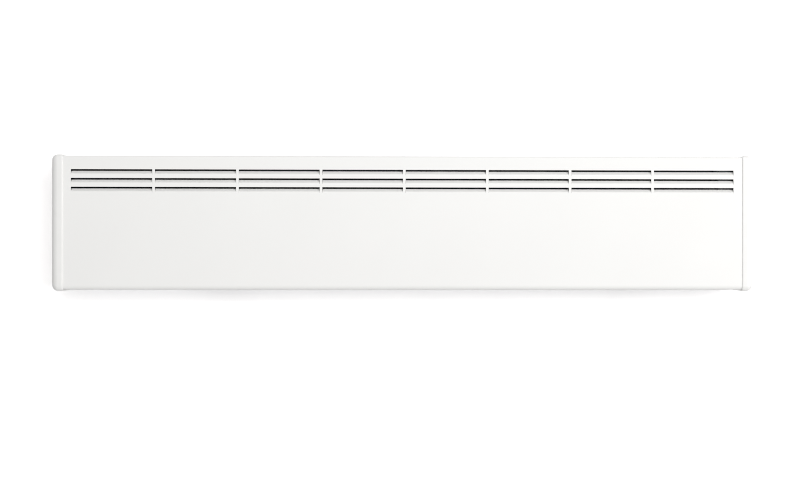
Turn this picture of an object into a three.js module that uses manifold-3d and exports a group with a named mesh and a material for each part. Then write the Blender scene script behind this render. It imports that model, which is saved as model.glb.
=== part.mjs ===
// Wall panel convector heater, 1030 mm long, on its wall bracket.
// Millimetres. +X runs along the heater to the right as seen from the front, +Y points to the wall, +Z is up.
// The origin is on the wall plane, at the middle of the bracket's rear face.
import * as THREE from "three";
import { mergeVertices } from "three/addons/utils/BufferGeometryUtils.js";
import Module from "manifold-3d";

const wasm = await Module();
wasm.setup();

// ---------- Driving sizes ----------

// Overall
const LENGTH = 1030; // over both end caps
const HEIGHT = 200; // end caps, bottom to top
const BODY_DEPTH = 63; // end caps, back to front
const WALL_GAP = 23; // wall to the back of the end caps

// Clearances
const FIT = 0.3; // between two fixed pieces that touch
const RUN = 0.5; // round a piece that turns, and round a wire
const ROOM = 2; // between pieces that only pass each other

// Sheet metal
const CASING_SHEET = 1;
const PANEL_SHEET = 1;
const BRACKET_SHEET = 1.5;
const INNER_SHEET = 0.8; // deflector, element brackets and clips
const TOP_BEND = 3; // outer bend radii of the front casing
const BOTTOM_BEND = 6.5;
const REAR_BEND = 1.3;
const LIP_HEIGHT = 10; // rear lips of the front casing
const PANEL_INSET = 1; // rear panel's edge below the casing's top

// End caps
const CAP_WIDTH = 16.5;
const CAP_WALL = 1.7;
const CAP_EDGE_RADIUS = 7.5; // rounding of the outer edges
const CAP_RIM_RADIUS = 1.6; // rounding of the edge next to the casing

// Louvres of the front casing
const LOUVRE_COLUMNS = 8;
const LOUVRE_ROWS = 3;
const LOUVRE_BRIDGE = 3.9; // sheet left between two louvres of a row
const LOUVRE_END_MARGIN = 12.5; // end cap to the first louvre
const LOUVRE_SHIFT = -0.7; // the whole pattern sits a little to the left
const LOUVRE_HEIGHT = 6.9;
const LOUVRE_PITCH = 12.85; // row to row
const LOUVRE_TOP_MARGIN = 20.1; // casing's top to the first row
const LOUVRE_ANGLE = THREE.MathUtils.degToRad(49); // flap, from upright
const LOUVRE_BEND = 2.2;

// Air inlet in the casing's bottom
const INLET_COLUMNS = 12;
const INLET_ROWS = 2;
const INLET_BRIDGE = 14;
const INLET_END_MARGIN = 26;
const INLET_WIDTH = 9;
const INLET_PITCH = 20;

// Wall bracket and its locks
const UPRIGHT_INSET = 215; // heater's end to an upright's middle
const UPRIGHT_HALF = 15; // half width of the raised web
const UPRIGHT_FLANGE = 14;
const UPRIGHT_DROP = 16; // heater's top to the top of an upright
const BRACKET_DEPTH = 18; // wall to the front of the webs
const BRACKET_BEND = 2.25; // on the sheet's middle line
const RAIL_HALF = 22;
const RAIL_FLANGE = 9;
const WALL_HOLE_RADIUS = 2.75;
const WALL_HOLE_DROP = 26; // upright's top to its upper hole
const RAIL_HOLE_INSET = 190; // upright to the rail's hole
const HOOK_RISE = 22; // heater's bottom to the hooks, about which it tilts
const HOOK_HALF = 6;
const HOOK_DROP = 9; // web's lower edge to the hook
const HOOK_LIP = 9;
const HOOK_REACH = 6.5; // past the front of the rear panel
const HOOK_SLOT_HEIGHT = 15;
const LOCK_DROP = 30; // heater's top to the locks
const LOCK_SHAFT_RADIUS = 3;
const LOCK_COLLAR_RADIUS = 6.5;
const LOCK_COLLAR = 2.2;
const LOCK_LEVER = 25;
const LOCK_LEVER_HALF = 3.6;
const LOCK_HEAD_HALF = 9;
const LOCK_HEAD_HALF_WIDTH = 2.6;
const LOCK_HEAD = 3;
const LOCK_REAR_HEAD = 1.5;

// Heating element
const ELEMENT_RISE = 62; // casing's bottom to the heating rod
const ELEMENT_END_ROOM = 60; // element's end to the chassis or the end of the casing
const FIN_HALF_DEPTH = 19;
const FIN_HALF_HEIGHT = 16;
const FIN_COUNT = 6;
const FIN_THICKNESS = 1.4;
const FIN_WEB = 2;
const HUB_RADIUS = 7;
const HEATING_ROD_RADIUS = 4;
const ROD_END = 24; // sheath beyond the fins
const ROD_PIN_RADIUS = 1.5;
const ROD_PIN = 10;
const INSULATOR_RADIUS = 5;
const INSULATOR = 7;
const BUSH_RADIUS = 9;
const BUSH_NECK_RADIUS = 6.5;
const BUSH_LENGTH = 9;
const BRACKET_FOOT = 16;
const SUPPORT_WIDTH = 5; // sheet left below and in front of the notch
const CENTRE_SUPPORT_X = 0;

// Air deflector
const DEFLECTOR_DROP = 12; // casing's top to the deflector
const DEFLECTOR_RISE = 48;
const DEFLECTOR_FOOT = 16;
const DEFLECTOR_LIP = 4;
const DEFLECTOR_RADIUS = 3;

// Control unit at the right end
const RECESS_DEPTH = 8.5;
const RECESS_HALF_WIDTH = 21;
const RECESS_HEIGHT = 88;
const RECESS_RADIUS = 6;
const RECESS_WALL = 2;
const CHASSIS_DEPTH = 38;
const CHASSIS_HEIGHT = 146;
const CHASSIS_WALL = 2;
const LID_SHEET = 1.8;
const DIAL_DROP = 24; // recess's top to the dial
const KNOB_RADIUS = 17;
const KNOB_FLUTES = 18;
const KNOB_FLUTE_DEPTH = 0.7;
const KNOB_WALL = 2; // over the shaft's end
const SHAFT_RADIUS = 3;
const SHAFT_FLAT = 2;
const SHAFT_IN_BODY = 7;
const THERMOSTAT_HALF = 14;
const THERMOSTAT_DEPTH = 24;
const LAMP_DROP = 50;
const LAMP_RADIUS = 2.8;
const LAMP_LENGTH = 9;
const SWITCH_DROP = 72;
const SWITCH_HALF_WIDTH = 6;
const SWITCH_HALF_HEIGHT = 10;
const SWITCH_WALL = 1.2;
const SWITCH_BEZEL = 1.6;
const SWITCH_DEPTH = 18;
const ROCKER_TILT = THREE.MathUtils.degToRad(8);
const ROCKER_PROUD = 1.2;
const BLOCK_POLE = 8;
const BLOCK_POLES = 3;
const BLOCK_HEIGHT = 14;
const BLOCK_DEPTH = 14;
const BLOCK_RISE = 40; // chassis' bottom to the terminal block
const GLAND_RISE = 15;
const GLAND_RADIUS = 6.5;
const GLAND_BORE = 3.6;
const GLAND_FLANGE_RADIUS = 9.5;
const GLAND_REACH = 12; // behind the rear panel

// Overheat cut-out
const CUTOUT_BACK_FROM_CHASSIS = 80;
const CUTOUT_RADIUS = 8;
const CUTOUT_DEPTH = 9;

// Screws
const SCREW_RADIUS = 1.75;
const SCREW_HEAD_RADIUS = 3.3;
const SCREW_HEAD = 1.9;
const SCREW_LENGTH = 7;
const PANEL_SCREW_INSET = 87; // casing's end to the outer panel screws
const CAP_SCREW_INSET = 5; // cap's inner rim to its screws
const CHASSIS_SCREW_SPREAD = 44;

// Wires
const WIRE_RADIUS = 1.4;
const WIRE_SIDES = 6;
const CLIP_WIDTH = 7;
const CLIP_INSET = 120; // upright to a clip
const EARTH_SCREW_INSET = 30; // chassis lid to the earth screw
const EARTH_SCREW_RISE = 12; // return wire to the earth screw
const WIRE_LEAD = 5; // straight stretch at a wire's end
const WIRE_SWEEP = 14; // reach of a wide bend
const NEUTRAL_EXIT_RISE = 7; // terminal block's top to the lower hole in the lid
const HEATER_EXIT_RISE = 29; // terminal block's top to the upper hole in the lid

// ---------- Places worked out from the sizes ----------

const capOuter = LENGTH / 2;
const capTop = HEIGHT / 2;
const capBack = -WALL_GAP;
const capFront = capBack - BODY_DEPTH;
const capProud = CAP_WALL + FIT;
const seam = capOuter - CAP_WIDTH;
const casingTop = capTop - capProud;
const casingFront = capFront + capProud;
const casingEnd = capOuter - CAP_EDGE_RADIUS - FIT;
const panelBack = capBack - capProud;
const panelFront = panelBack - PANEL_SHEET;
const panelTop = casingTop - PANEL_INSET;
const lipBack = panelFront - FIT;
const lipFront = lipBack - CASING_SHEET;
const lipMiddleZ = casingTop - LIP_HEIGHT / 2;
const innerBack = panelFront - FIT; // rear face of what is fastened inside the rear panel

const louvreSpan = 2 * (seam - LOUVRE_END_MARGIN);
const louvreLength = (louvreSpan - (LOUVRE_COLUMNS - 1) * LOUVRE_BRIDGE) / LOUVRE_COLUMNS;
const flapLength = LOUVRE_HEIGHT - FIT;
const flapReach = flapLength * Math.sin(LOUVRE_ANGLE);
const innerFront = casingFront + CASING_SHEET + flapReach + ROOM;

const recessFloor = capOuter - RECESS_DEPTH;
const recessBack = recessFloor - RECESS_WALL;
const chassisOuter = recessBack - FIT;
const chassisInner = chassisOuter - CHASSIS_DEPTH;
const chassisTop = casingTop - LIP_HEIGHT - 2 * ROOM;
const chassisBottom = chassisTop - CHASSIS_HEIGHT;
const chassisMiddleX = (chassisOuter + chassisInner) / 2;
const lidOuter = chassisInner - FIT;
const lidInner = lidOuter - LID_SHEET;
const controlY = (innerFront + innerBack) / 2;
const recessTop = chassisTop - 2 * ROOM;
const dialZ = recessTop - DIAL_DROP;
const lampZ = recessTop - LAMP_DROP;
const blockZ = chassisBottom + BLOCK_RISE;
const glandZ = chassisBottom + GLAND_RISE;
const switchZ = recessTop - SWITCH_DROP;

const elementY = (casingFront + panelFront) / 2;
const elementZ = -casingTop + ELEMENT_RISE;
const elementLeft = -casingEnd + ELEMENT_END_ROOM;
const elementRight = lidInner - ELEMENT_END_ROOM;
const bushRoom = (ROD_END - BUSH_LENGTH) / 2; // fins to the bush
const supportLeftX = elementLeft - bushRoom - BUSH_LENGTH / 2;
const supportRightX = elementRight + bushRoom + BUSH_LENGTH / 2;
const pinLeft = elementLeft - ROD_END - ROD_PIN;
const pinRight = elementRight + ROD_END + ROD_PIN;

const deflectorTop = casingTop - DEFLECTOR_DROP;
const deflectorBend = deflectorTop - DEFLECTOR_RISE;
const deflectorFoot = deflectorBend - DEFLECTOR_FOOT;

const uprightX = capOuter - UPRIGHT_INSET;
const uprightTop = capTop - UPRIGHT_DROP;
const wallHoleZ = uprightTop - WALL_HOLE_DROP;
const hookZ = -capTop + HOOK_RISE;
const lockZ = capTop - LOCK_DROP;
const webFront = -BRACKET_DEPTH;
const webBack = webFront + BRACKET_SHEET;
const uprightBottom = hookZ + HOOK_DROP;
const hookFront = panelFront - HOOK_REACH;

const returnWireZ = -casingTop + LIP_HEIGHT + 2 * ROOM;
const clipX = uprightX - CLIP_INSET;

// ---------- Finishes ----------

const FINISHES = {
  powderWhite: { color: "#f1f0ed", roughness: 0.42, metalness: 0 },
  plasticWhite: { color: "#f0efec", roughness: 0.38, metalness: 0 },
  zincSteel: { color: "#aeb2b4", roughness: 0.42, metalness: 0.85 },
  blackSteel: { color: "#3a3a3b", roughness: 0.7, metalness: 0 },
  brightSteel: { color: "#c2c4c6", roughness: 0.28, metalness: 0.9 },
  aluminium: { color: "#c9ccce", roughness: 0.36, metalness: 0.9 },
  ceramic: { color: "#e9e3d6", roughness: 0.5, metalness: 0 },
  plasticGrey: { color: "#8c8f91", roughness: 0.45, metalness: 0 },
  plasticDark: { color: "#2f3133", roughness: 0.4, metalness: 0 },
  brass: { color: "#c6a35a", roughness: 0.32, metalness: 0.9 },
  lampAmber: { color: "#d8702a", roughness: 0.18, metalness: 0 },
  wireBrown: { color: "#6b4028", roughness: 0.5, metalness: 0 },
  wireBlue: { color: "#3a6ea8", roughness: 0.5, metalness: 0 },
  wireGreen: { color: "#8ea63a", roughness: 0.5, metalness: 0 },
};

// ---------- Solids ----------

function solid(geometry) {
  const bare = geometry.index ? geometry.toNonIndexed() : geometry.clone();
  bare.deleteAttribute("normal");
  bare.deleteAttribute("uv");
  const merged = mergeVertices(bare, 1e-4);
  const corners = merged.index.array;
  const faces = [];
  for (let i = 0; i < corners.length; i += 3) {
    const [a, b, c] = [corners[i], corners[i + 1], corners[i + 2]];
    if (a !== b && b !== c && c !== a) faces.push(a, b, c);
  }
  const vertProperties = merged.attributes.position.array;
  return new wasm.Manifold(
    new wasm.Mesh({ numProp: 3, vertProperties, triVerts: new Uint32Array(faces) }),
  );
}

function block([x0, x1], [y0, y1], [z0, z1]) {
  const box = new THREE.BoxGeometry(x1 - x0, y1 - y0, z1 - z0);
  return solid(box.translate((x0 + x1) / 2, (y0 + y1) / 2, (z0 + z1) / 2));
}

// Round bars with their axis along X, Y or Z through the given point of the other two directions.
function rodX(radius, [x0, x1], y, z, sides = 20) {
  const bar = new THREE.CylinderGeometry(radius, radius, x1 - x0, sides).rotateZ(Math.PI / 2);
  return solid(bar.translate((x0 + x1) / 2, y, z));
}

function rodY(radius, [y0, y1], x, z, sides = 20) {
  const bar = new THREE.CylinderGeometry(radius, radius, y1 - y0, sides);
  return solid(bar.translate(x, (y0 + y1) / 2, z));
}

// Outlines drawn in (Y, Z), (X, Z) or (X, Y) and pushed along the third direction.
function alongX(outline, [x0, x1]) {
  const turn = new THREE.Matrix4().makeBasis(
    new THREE.Vector3(0, 1, 0),
    new THREE.Vector3(0, 0, 1),
    new THREE.Vector3(1, 0, 0),
  );
  const bar = new THREE.ExtrudeGeometry(outline, { depth: x1 - x0, bevelEnabled: false });
  return solid(bar.applyMatrix4(turn).translate(x0, 0, 0));
}

function alongY(outline, [y0, y1]) {
  const bar = new THREE.ExtrudeGeometry(outline, { depth: y1 - y0, bevelEnabled: false });
  return solid(bar.rotateX(Math.PI / 2).translate(0, y1, 0));
}

function alongZ(outline, [z0, z1]) {
  const bar = new THREE.ExtrudeGeometry(outline, { depth: z1 - z0, bevelEnabled: false });
  return solid(bar.translate(0, 0, z0));
}

function turned(profile, sides) {
  return solid(new THREE.LatheGeometry(profile.map(([r, y]) => new THREE.Vector2(r, y)), sides));
}

// A smooth route with as many steps between two far points as between two near ones.
class Route extends THREE.CatmullRomCurve3 {
  getPointAt(share) {
    return this.getPoint(share);
  }

  getTangentAt(share) {
    return this.getTangent(share);
  }
}

function tube(points, radius, sides, stepsPerPoint) {
  const section = new THREE.Shape(ring(radius, sides));
  const extrudePath = new Route(points.map((p) => new THREE.Vector3(...p)), false, "centripetal");
  const steps = (points.length - 1) * stepsPerPoint;
  return solid(new THREE.ExtrudeGeometry(section, { steps, extrudePath, bevelEnabled: false }));
}

function joined(...solids) {
  return solids.reduce((all, one) => all.add(one));
}

function cutBy(body, cutters) {
  return cutters.reduce((left, cutter) => left.subtract(cutter), body);
}

function repeat(count, make) {
  return Array.from({ length: count }, (_, i) => make(i));
}

// ---------- Outlines ----------

function ring(radius, sides) {
  return repeat(sides, (i) => {
    const turn = (i / sides) * 2 * Math.PI;
    return new THREE.Vector2(radius * Math.cos(turn), radius * Math.sin(turn));
  });
}

// The points of the arc that rounds a corner, or the corner itself where it is sharp.
function roundedCorner(before, corner, after, radius, steps) {
  const into = corner.clone().sub(before).normalize();
  const out = after.clone().sub(corner).normalize();
  const bend = Math.atan2(into.cross(out), into.dot(out));
  if (radius <= 0.01) return [corner];
  const start = corner.clone().addScaledVector(into, -radius * Math.tan(Math.abs(bend) / 2));
  const side = Math.sign(bend) * radius;
  const centre = start.clone().add(new THREE.Vector2(-into.y * side, into.x * side));
  return repeat(steps + 1, (i) => start.clone().rotateAround(centre, (bend * i) / steps));
}

// A closed outline from corners [x, y, radius].
function outline(corners, steps = 4) {
  const points = corners.map(([x, y]) => new THREE.Vector2(x, y));
  const count = corners.length;
  const rounded = corners.flatMap(([, , radius = 0], i) =>
    roundedCorner(points[(i + count - 1) % count], points[i], points[(i + 1) % count], radius, steps),
  );
  return new THREE.Shape(rounded);
}

function rectangle([x0, x1], [y0, y1], radius = 0, steps = 4) {
  return outline([[x0, y0, radius], [x1, y0, radius], [x1, y1, radius], [x0, y1, radius]], steps);
}

// One side of a bent strip: its middle line moved sideways, with each bend's radius to match.
function stripSide(corners, shift, steps) {
  const points = corners.map(([x, y]) => new THREE.Vector2(x, y));
  const runs = points.slice(1).map((p, i) => p.clone().sub(points[i]).normalize());
  const last = points.length - 1;
  const moved = points.map((p, i) => {
    const before = runs[Math.max(i - 1, 0)];
    const after = runs[Math.min(i, last - 1)];
    const across = new THREE.Vector2(-before.y - after.y, before.x + after.x);
    return p.clone().addScaledVector(across, shift / (1 + before.dot(after)));
  });
  return moved.flatMap((p, i) => {
    if (i === 0 || i === last) return [p];
    const turn = Math.sign(runs[i - 1].cross(runs[i]));
    return roundedCorner(moved[i - 1], p, moved[i + 1], corners[i][2] - turn * shift, steps);
  });
}

// The outline of folded sheet metal, from its middle line's corners [x, y, bend radius].
function foldedSheet(corners, thickness, steps = 4) {
  const left = stripSide(corners, thickness / 2, steps);
  const right = stripSide(corners, -thickness / 2, steps);
  return new THREE.Shape([...left, ...right.reverse()]);
}

// ---------- Placing ----------

function piece(group, name, body, finish, position = [0, 0, 0]) {
  const { vertProperties, triVerts } = body.getMesh();
  const geometry = new THREE.BufferGeometry();
  geometry.setAttribute("position", new THREE.BufferAttribute(vertProperties, 3));
  geometry.setIndex(new THREE.BufferAttribute(triVerts, 1));
  geometry.computeVertexNormals();
  const mesh = new THREE.Mesh(geometry, new THREE.MeshStandardMaterial(FINISHES[finish]));
  mesh.name = name;
  mesh.position.set(...position);
  group.add(mesh);
  return mesh;
}

// ---------- Screws ----------

// Pan-head screw along Y: the head rests at y = 0 and the shank points to -Y.
function screwSolid() {
  const slot = SCREW_HEAD_RADIUS / 5;
  const head = turned(
    [
      [0, -SCREW_LENGTH],
      [SCREW_RADIUS * 0.6, -SCREW_LENGTH],
      [SCREW_RADIUS, -SCREW_LENGTH + SCREW_RADIUS],
      [SCREW_RADIUS, 0],
      [SCREW_HEAD_RADIUS, 0],
      [SCREW_HEAD_RADIUS, SCREW_HEAD * 0.5],
      [SCREW_HEAD_RADIUS * 0.75, SCREW_HEAD],
      [0, SCREW_HEAD],
    ],
    10,
  );
  const arm = SCREW_HEAD_RADIUS * 0.55;
  const depth = [SCREW_HEAD / 2, SCREW_HEAD + 1];
  return cutBy(head, [block([-arm, arm], depth, [-slot, slot]), block([-slot, slot], depth, [-arm, arm])]);
}

function screwHole(x, z, [y0, y1]) {
  return rodY(SCREW_RADIUS + FIT, [y0, y1], x, z, 10);
}

const capScrewPlaces = [
  ["left_cap_screw_upper", -1, lipMiddleZ],
  ["left_cap_screw_lower", -1, -lipMiddleZ],
  ["right_cap_screw_upper", 1, lipMiddleZ],
  ["right_cap_screw_lower", 1, -lipMiddleZ],
].map(([name, side, z]) => ({ name, side, x: side * (seam + CAP_SCREW_INSET), z }));

const panelScrewPlaces = ["left", "middle", "right"].flatMap((where, i) => [
  { name: "panel_screw_upper_" + where, x: (i - 1) * (casingEnd - PANEL_SCREW_INSET), z: lipMiddleZ },
  { name: "panel_screw_lower_" + where, x: (i - 1) * (casingEnd - PANEL_SCREW_INSET), z: -lipMiddleZ },
]);

const chassisScrewPlaces = [
  { name: "chassis_screw_upper", x: chassisMiddleX, z: switchZ + CHASSIS_SCREW_SPREAD },
  { name: "chassis_screw_lower", x: chassisMiddleX, z: switchZ },
];

// ---------- Front casing ----------

function casingOutline() {
  const half = CASING_SHEET / 2;
  const back = lipBack - half;
  const front = casingFront + half;
  const top = casingTop - half;
  const lipEnd = casingTop - LIP_HEIGHT;
  return foldedSheet(
    [
      [back, lipEnd],
      [back, top, REAR_BEND - half],
      [front, top, TOP_BEND - half],
      [front, -top, BOTTOM_BEND - half],
      [back, -top, REAR_BEND - half],
      [back, -lipEnd],
    ],
    CASING_SHEET,
    6,
  );
}

function louvrePlaces() {
  return repeat(LOUVRE_ROWS, (row) =>
    repeat(LOUVRE_COLUMNS, (column) => ({
      left: -louvreSpan / 2 + LOUVRE_SHIFT + column * (louvreLength + LOUVRE_BRIDGE),
      top: casingTop - LOUVRE_TOP_MARGIN - row * LOUVRE_PITCH,
    })),
  ).flat();
}

function louvreHole({ left, top }) {
  const through = [casingFront - ROOM, casingFront + CASING_SHEET + ROOM];
  return block([left, left + louvreLength], through, [top - LOUVRE_HEIGHT, top]);
}

// A flap hinges on the louvre's lower edge and leans into the casing.
function louvreFlap({ left, top }) {
  const middle = casingFront + CASING_SHEET / 2;
  const hinge = top - LOUVRE_HEIGHT;
  const strip = foldedSheet(
    [
      [middle, hinge - LOUVRE_BEND],
      [middle, hinge, LOUVRE_BEND],
      [middle + flapReach, hinge + flapLength * Math.cos(LOUVRE_ANGLE)],
    ],
    CASING_SHEET,
    2,
  );
  return alongX(strip, [left + FIT, left + louvreLength - FIT]);
}

function inletHoles() {
  const length = (2 * (seam - INLET_END_MARGIN) - (INLET_COLUMNS - 1) * INLET_BRIDGE) / INLET_COLUMNS;
  const middleY = (casingFront + lipBack) / 2;
  const through = [-casingTop - ROOM, -casingTop + CASING_SHEET + ROOM];
  return repeat(INLET_ROWS, (row) =>
    repeat(INLET_COLUMNS, (column) => {
      const left = -seam + INLET_END_MARGIN + column * (length + INLET_BRIDGE);
      const y = middleY + (row - (INLET_ROWS - 1) / 2) * INLET_PITCH;
      const slot = rectangle(
        [left, left + length],
        [y - INLET_WIDTH / 2, y + INLET_WIDTH / 2],
        INLET_WIDTH / 2 - 0.05,
        2,
      );
      return alongZ(slot, through);
    }),
  ).flat();
}

function frontCasing() {
  const shell = alongX(casingOutline(), [-casingEnd, casingEnd]);
  const places = louvrePlaces();
  const screwHoles = [...capScrewPlaces, ...panelScrewPlaces].map(({ x, z }) =>
    screwHole(x, z, [lipFront - ROOM, lipBack + ROOM]),
  );
  const open = cutBy(shell, [...places.map(louvreHole), ...inletHoles(), ...screwHoles]);
  return joined(open, ...places.map(louvreFlap));
}

// ---------- Rear panel ----------

function rearPanel() {
  const sheet = [panelFront, panelBack];
  const through = [panelFront - ROOM, panelBack + ROOM];
  const plate = alongY(rectangle([-casingEnd, casingEnd], [-panelTop, panelTop]), sheet);
  const slots = [-1, 1].flatMap((side) => {
    const x = side * uprightX;
    const hookHalf = HOOK_HALF + ROOM;
    const hookLow = hookZ - BRACKET_SHEET / 2 - 2 * FIT;
    const lockHalfWidth = Math.max(LOCK_HEAD_HALF_WIDTH, LOCK_SHAFT_RADIUS) + 2 * RUN;
    const lockHalf = LOCK_HEAD_HALF + 2 * RUN;
    return [
      block([x - hookHalf, x + hookHalf], through, [hookLow, hookLow + HOOK_SLOT_HEIGHT]),
      block([x - lockHalfWidth, x + lockHalfWidth], through, [lockZ - lockHalf, lockZ + lockHalf]),
    ];
  });
  const screws = [...capScrewPlaces, ...panelScrewPlaces, ...chassisScrewPlaces, earthScrewPlace];
  const holes = screws.map(({ x, z }) => screwHole(x, z, through));
  return cutBy(plate, [...slots, ...holes, rodY(GLAND_RADIUS + FIT, through, chassisMiddleX, glandZ)]);
}

// ---------- End caps ----------

// The cap's rounded block, or with an inset the hollow inside it; side is -1 for the left cap and 1 for the right.
function capBlock(side, inset, rim) {
  const top = capTop - inset;
  const front = capFront + inset;
  const back = capBack - inset;
  const outer = side * (capOuter - inset);
  const inner = side * (seam - (rim ? 0 : ROOM));
  const edge = CAP_EDGE_RADIUS - inset;
  const rimRadius = rim ? CAP_RIM_RADIUS : 0;
  const cornerRadius = (casingBend) => casingBend + capProud - inset;
  const xRange = side > 0 ? [inner, outer] : [outer, inner];
  const section = outline([
    [front, -top, cornerRadius(BOTTOM_BEND)],
    [back, -top, cornerRadius(REAR_BEND)],
    [back, top, cornerRadius(REAR_BEND)],
    [front, top, cornerRadius(TOP_BEND)],
  ], 6);
  const frontView = outline([
    [inner, -top, rimRadius],
    [outer, -top, edge],
    [outer, top, edge],
    [inner, top, rimRadius],
  ], 6);
  const planView = outline([
    [inner, front, rimRadius],
    [outer, front, edge],
    [outer, back, edge / 2],
    [inner, back, rimRadius],
  ], 6);
  return alongX(section, xRange)
    .intersect(alongY(frontView, [front, back]))
    .intersect(alongZ(planView, [-top, top]));
}

function endCap(side) {
  const holes = capScrewPlaces
    .filter((place) => place.side === side)
    .map(({ x, z }) => screwHole(x, z, [capBack - capProud, capBack + ROOM]));
  return cutBy(capBlock(side, 0, true), [capBlock(side, CAP_WALL, false), ...holes]);
}

function recessOutline(grow) {
  return rectangle(
    [controlY - RECESS_HALF_WIDTH - grow, controlY + RECESS_HALF_WIDTH + grow],
    [recessTop - RECESS_HEIGHT - grow, recessTop + grow],
    RECESS_RADIUS + grow,
  );
}

// Openings for the dial's shaft, the lamp and the switch, through the recess floor and the chassis behind it.
function controlHoles([x0, x1]) {
  return [
    rodX(SHAFT_RADIUS + RUN, [x0, x1], controlY, dialZ),
    rodX(LAMP_RADIUS + FIT, [x0, x1], controlY, lampZ, 16),
    block(
      [x0, x1],
      [controlY - SWITCH_HALF_WIDTH - FIT, controlY + SWITCH_HALF_WIDTH + FIT],
      [switchZ - SWITCH_HALF_HEIGHT - FIT, switchZ + SWITCH_HALF_HEIGHT + FIT],
    ),
  ];
}

function rightEndCap() {
  const tub = alongX(recessOutline(RECESS_WALL), [recessBack, capOuter - CAP_WALL / 2]);
  const recess = alongX(recessOutline(0), [recessFloor, capOuter + ROOM]);
  return cutBy(joined(endCap(1), tub), [recess, ...controlHoles([recessBack - ROOM, recessFloor + ROOM])]);
}

// ---------- Wall bracket ----------

function upright(x) {
  const half = BRACKET_SHEET / 2;
  const foot = UPRIGHT_HALF + UPRIGHT_FLANGE;
  const web = webFront + half;
  const hat = foldedSheet([
    [x - foot, -half],
    [x - UPRIGHT_HALF, -half, BRACKET_BEND],
    [x - UPRIGHT_HALF, web, BRACKET_BEND],
    [x + UPRIGHT_HALF, web, BRACKET_BEND],
    [x + UPRIGHT_HALF, -half, BRACKET_BEND],
    [x + foot, -half],
  ], BRACKET_SHEET);
  const hook = foldedSheet([
    [web, uprightBottom + HOOK_DROP],
    [web, hookZ, BRACKET_BEND],
    [hookFront + half, hookZ, BRACKET_BEND],
    [hookFront + half, hookZ + HOOK_LIP],
  ], BRACKET_SHEET);
  const lockHole = rodY(LOCK_SHAFT_RADIUS + FIT, [webFront - ROOM, webBack + ROOM], x, lockZ);
  return cutBy(
    joined(alongZ(hat, [uprightBottom, uprightTop]), alongX(hook, [x - HOOK_HALF, x + HOOK_HALF])),
    [lockHole],
  );
}

function wallBracket() {
  const half = BRACKET_SHEET / 2;
  const overlap = uprightX - UPRIGHT_HALF - UPRIGHT_FLANGE + ROOM;
  const flangeEnd = -RAIL_FLANGE;
  const rail = foldedSheet([
    [flangeEnd, -RAIL_HALF],
    [-half, -RAIL_HALF, BRACKET_BEND],
    [-half, RAIL_HALF, BRACKET_BEND],
    [flangeEnd, RAIL_HALF],
  ], BRACKET_SHEET);
  const wallHoles = [-1, 1].flatMap((side) => {
    const outer = side * (uprightX + UPRIGHT_HALF + (UPRIGHT_FLANGE + BRACKET_SHEET) / 2);
    return [[outer, wallHoleZ], [outer, -wallHoleZ], [side * (uprightX - RAIL_HOLE_INSET), 0]];
  });
  const holes = wallHoles.map(([x, z]) => rodY(WALL_HOLE_RADIUS, [-BRACKET_SHEET - ROOM, ROOM], x, z, 16));
  return cutBy(
    joined(upright(-uprightX), upright(uprightX), alongX(rail, [-overlap, overlap])),
    holes,
  );
}

// Quarter-turn lock about the Y axis, in its open position: lever and head upright.
function bracketLock() {
  const collarFront = webFront - FIT - LOCK_COLLAR;
  const headBack = panelFront - 2 * RUN;
  const headFront = headBack - LOCK_HEAD;
  const rearHead = [webBack + FIT, webBack + FIT + LOCK_REAR_HEAD];
  const leverEnd = LOCK_LEVER - LOCK_LEVER_HALF;
  const lever = outline([
    [-LOCK_LEVER_HALF, 0],
    [LOCK_LEVER_HALF, 0],
    [LOCK_LEVER_HALF, leverEnd + LOCK_LEVER_HALF, LOCK_LEVER_HALF * 0.9],
    [-LOCK_LEVER_HALF, leverEnd + LOCK_LEVER_HALF, LOCK_LEVER_HALF * 0.9],
  ], 3);
  const head = rectangle(
    [-LOCK_HEAD_HALF_WIDTH, LOCK_HEAD_HALF_WIDTH],
    [-LOCK_HEAD_HALF, LOCK_HEAD_HALF],
    LOCK_HEAD_HALF_WIDTH * 0.9,
    2,
  );
  return joined(
    rodY(LOCK_SHAFT_RADIUS, [headFront, rearHead[1]], 0, 0, 12),
    rodY(LOCK_SHAFT_RADIUS + 2 * FIT + BRACKET_SHEET, rearHead, 0, 0, 12),
    rodY(LOCK_COLLAR_RADIUS, [collarFront, webFront - FIT], 0, 0, 16),
    alongY(lever, [collarFront, webFront - FIT]),
    alongY(head, [headFront, headBack]),
  );
}

// ---------- Heating element ----------

function finBody() {
  const span = [elementLeft, elementRight];
  const web = block(span, [elementY - FIN_HALF_DEPTH, elementY + FIN_HALF_DEPTH], [
    elementZ - FIN_WEB / 2,
    elementZ + FIN_WEB / 2,
  ]);
  const step = (2 * FIN_HALF_DEPTH - FIN_THICKNESS) / (FIN_COUNT - 1);
  const fins = repeat(FIN_COUNT, (i) => {
    const y = elementY - FIN_HALF_DEPTH + i * step;
    return block(span, [y, y + FIN_THICKNESS], [elementZ - FIN_HALF_HEIGHT, elementZ + FIN_HALF_HEIGHT]);
  });
  const hub = rodX(HUB_RADIUS, span, elementY, elementZ, 16);
  const bore = rodX(HEATING_ROD_RADIUS + FIT, [span[0] - ROOM, span[1] + ROOM], elementY, elementZ, 16);
  return joined(web, ...fins, hub).subtract(bore);
}

function heatingRod() {
  const sheath = rodX(HEATING_ROD_RADIUS, [elementLeft - ROD_END, elementRight + ROD_END], elementY, elementZ, 16);
  return sheath.add(rodX(ROD_PIN_RADIUS, [pinLeft, pinRight], elementY, elementZ, 10));
}

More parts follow.
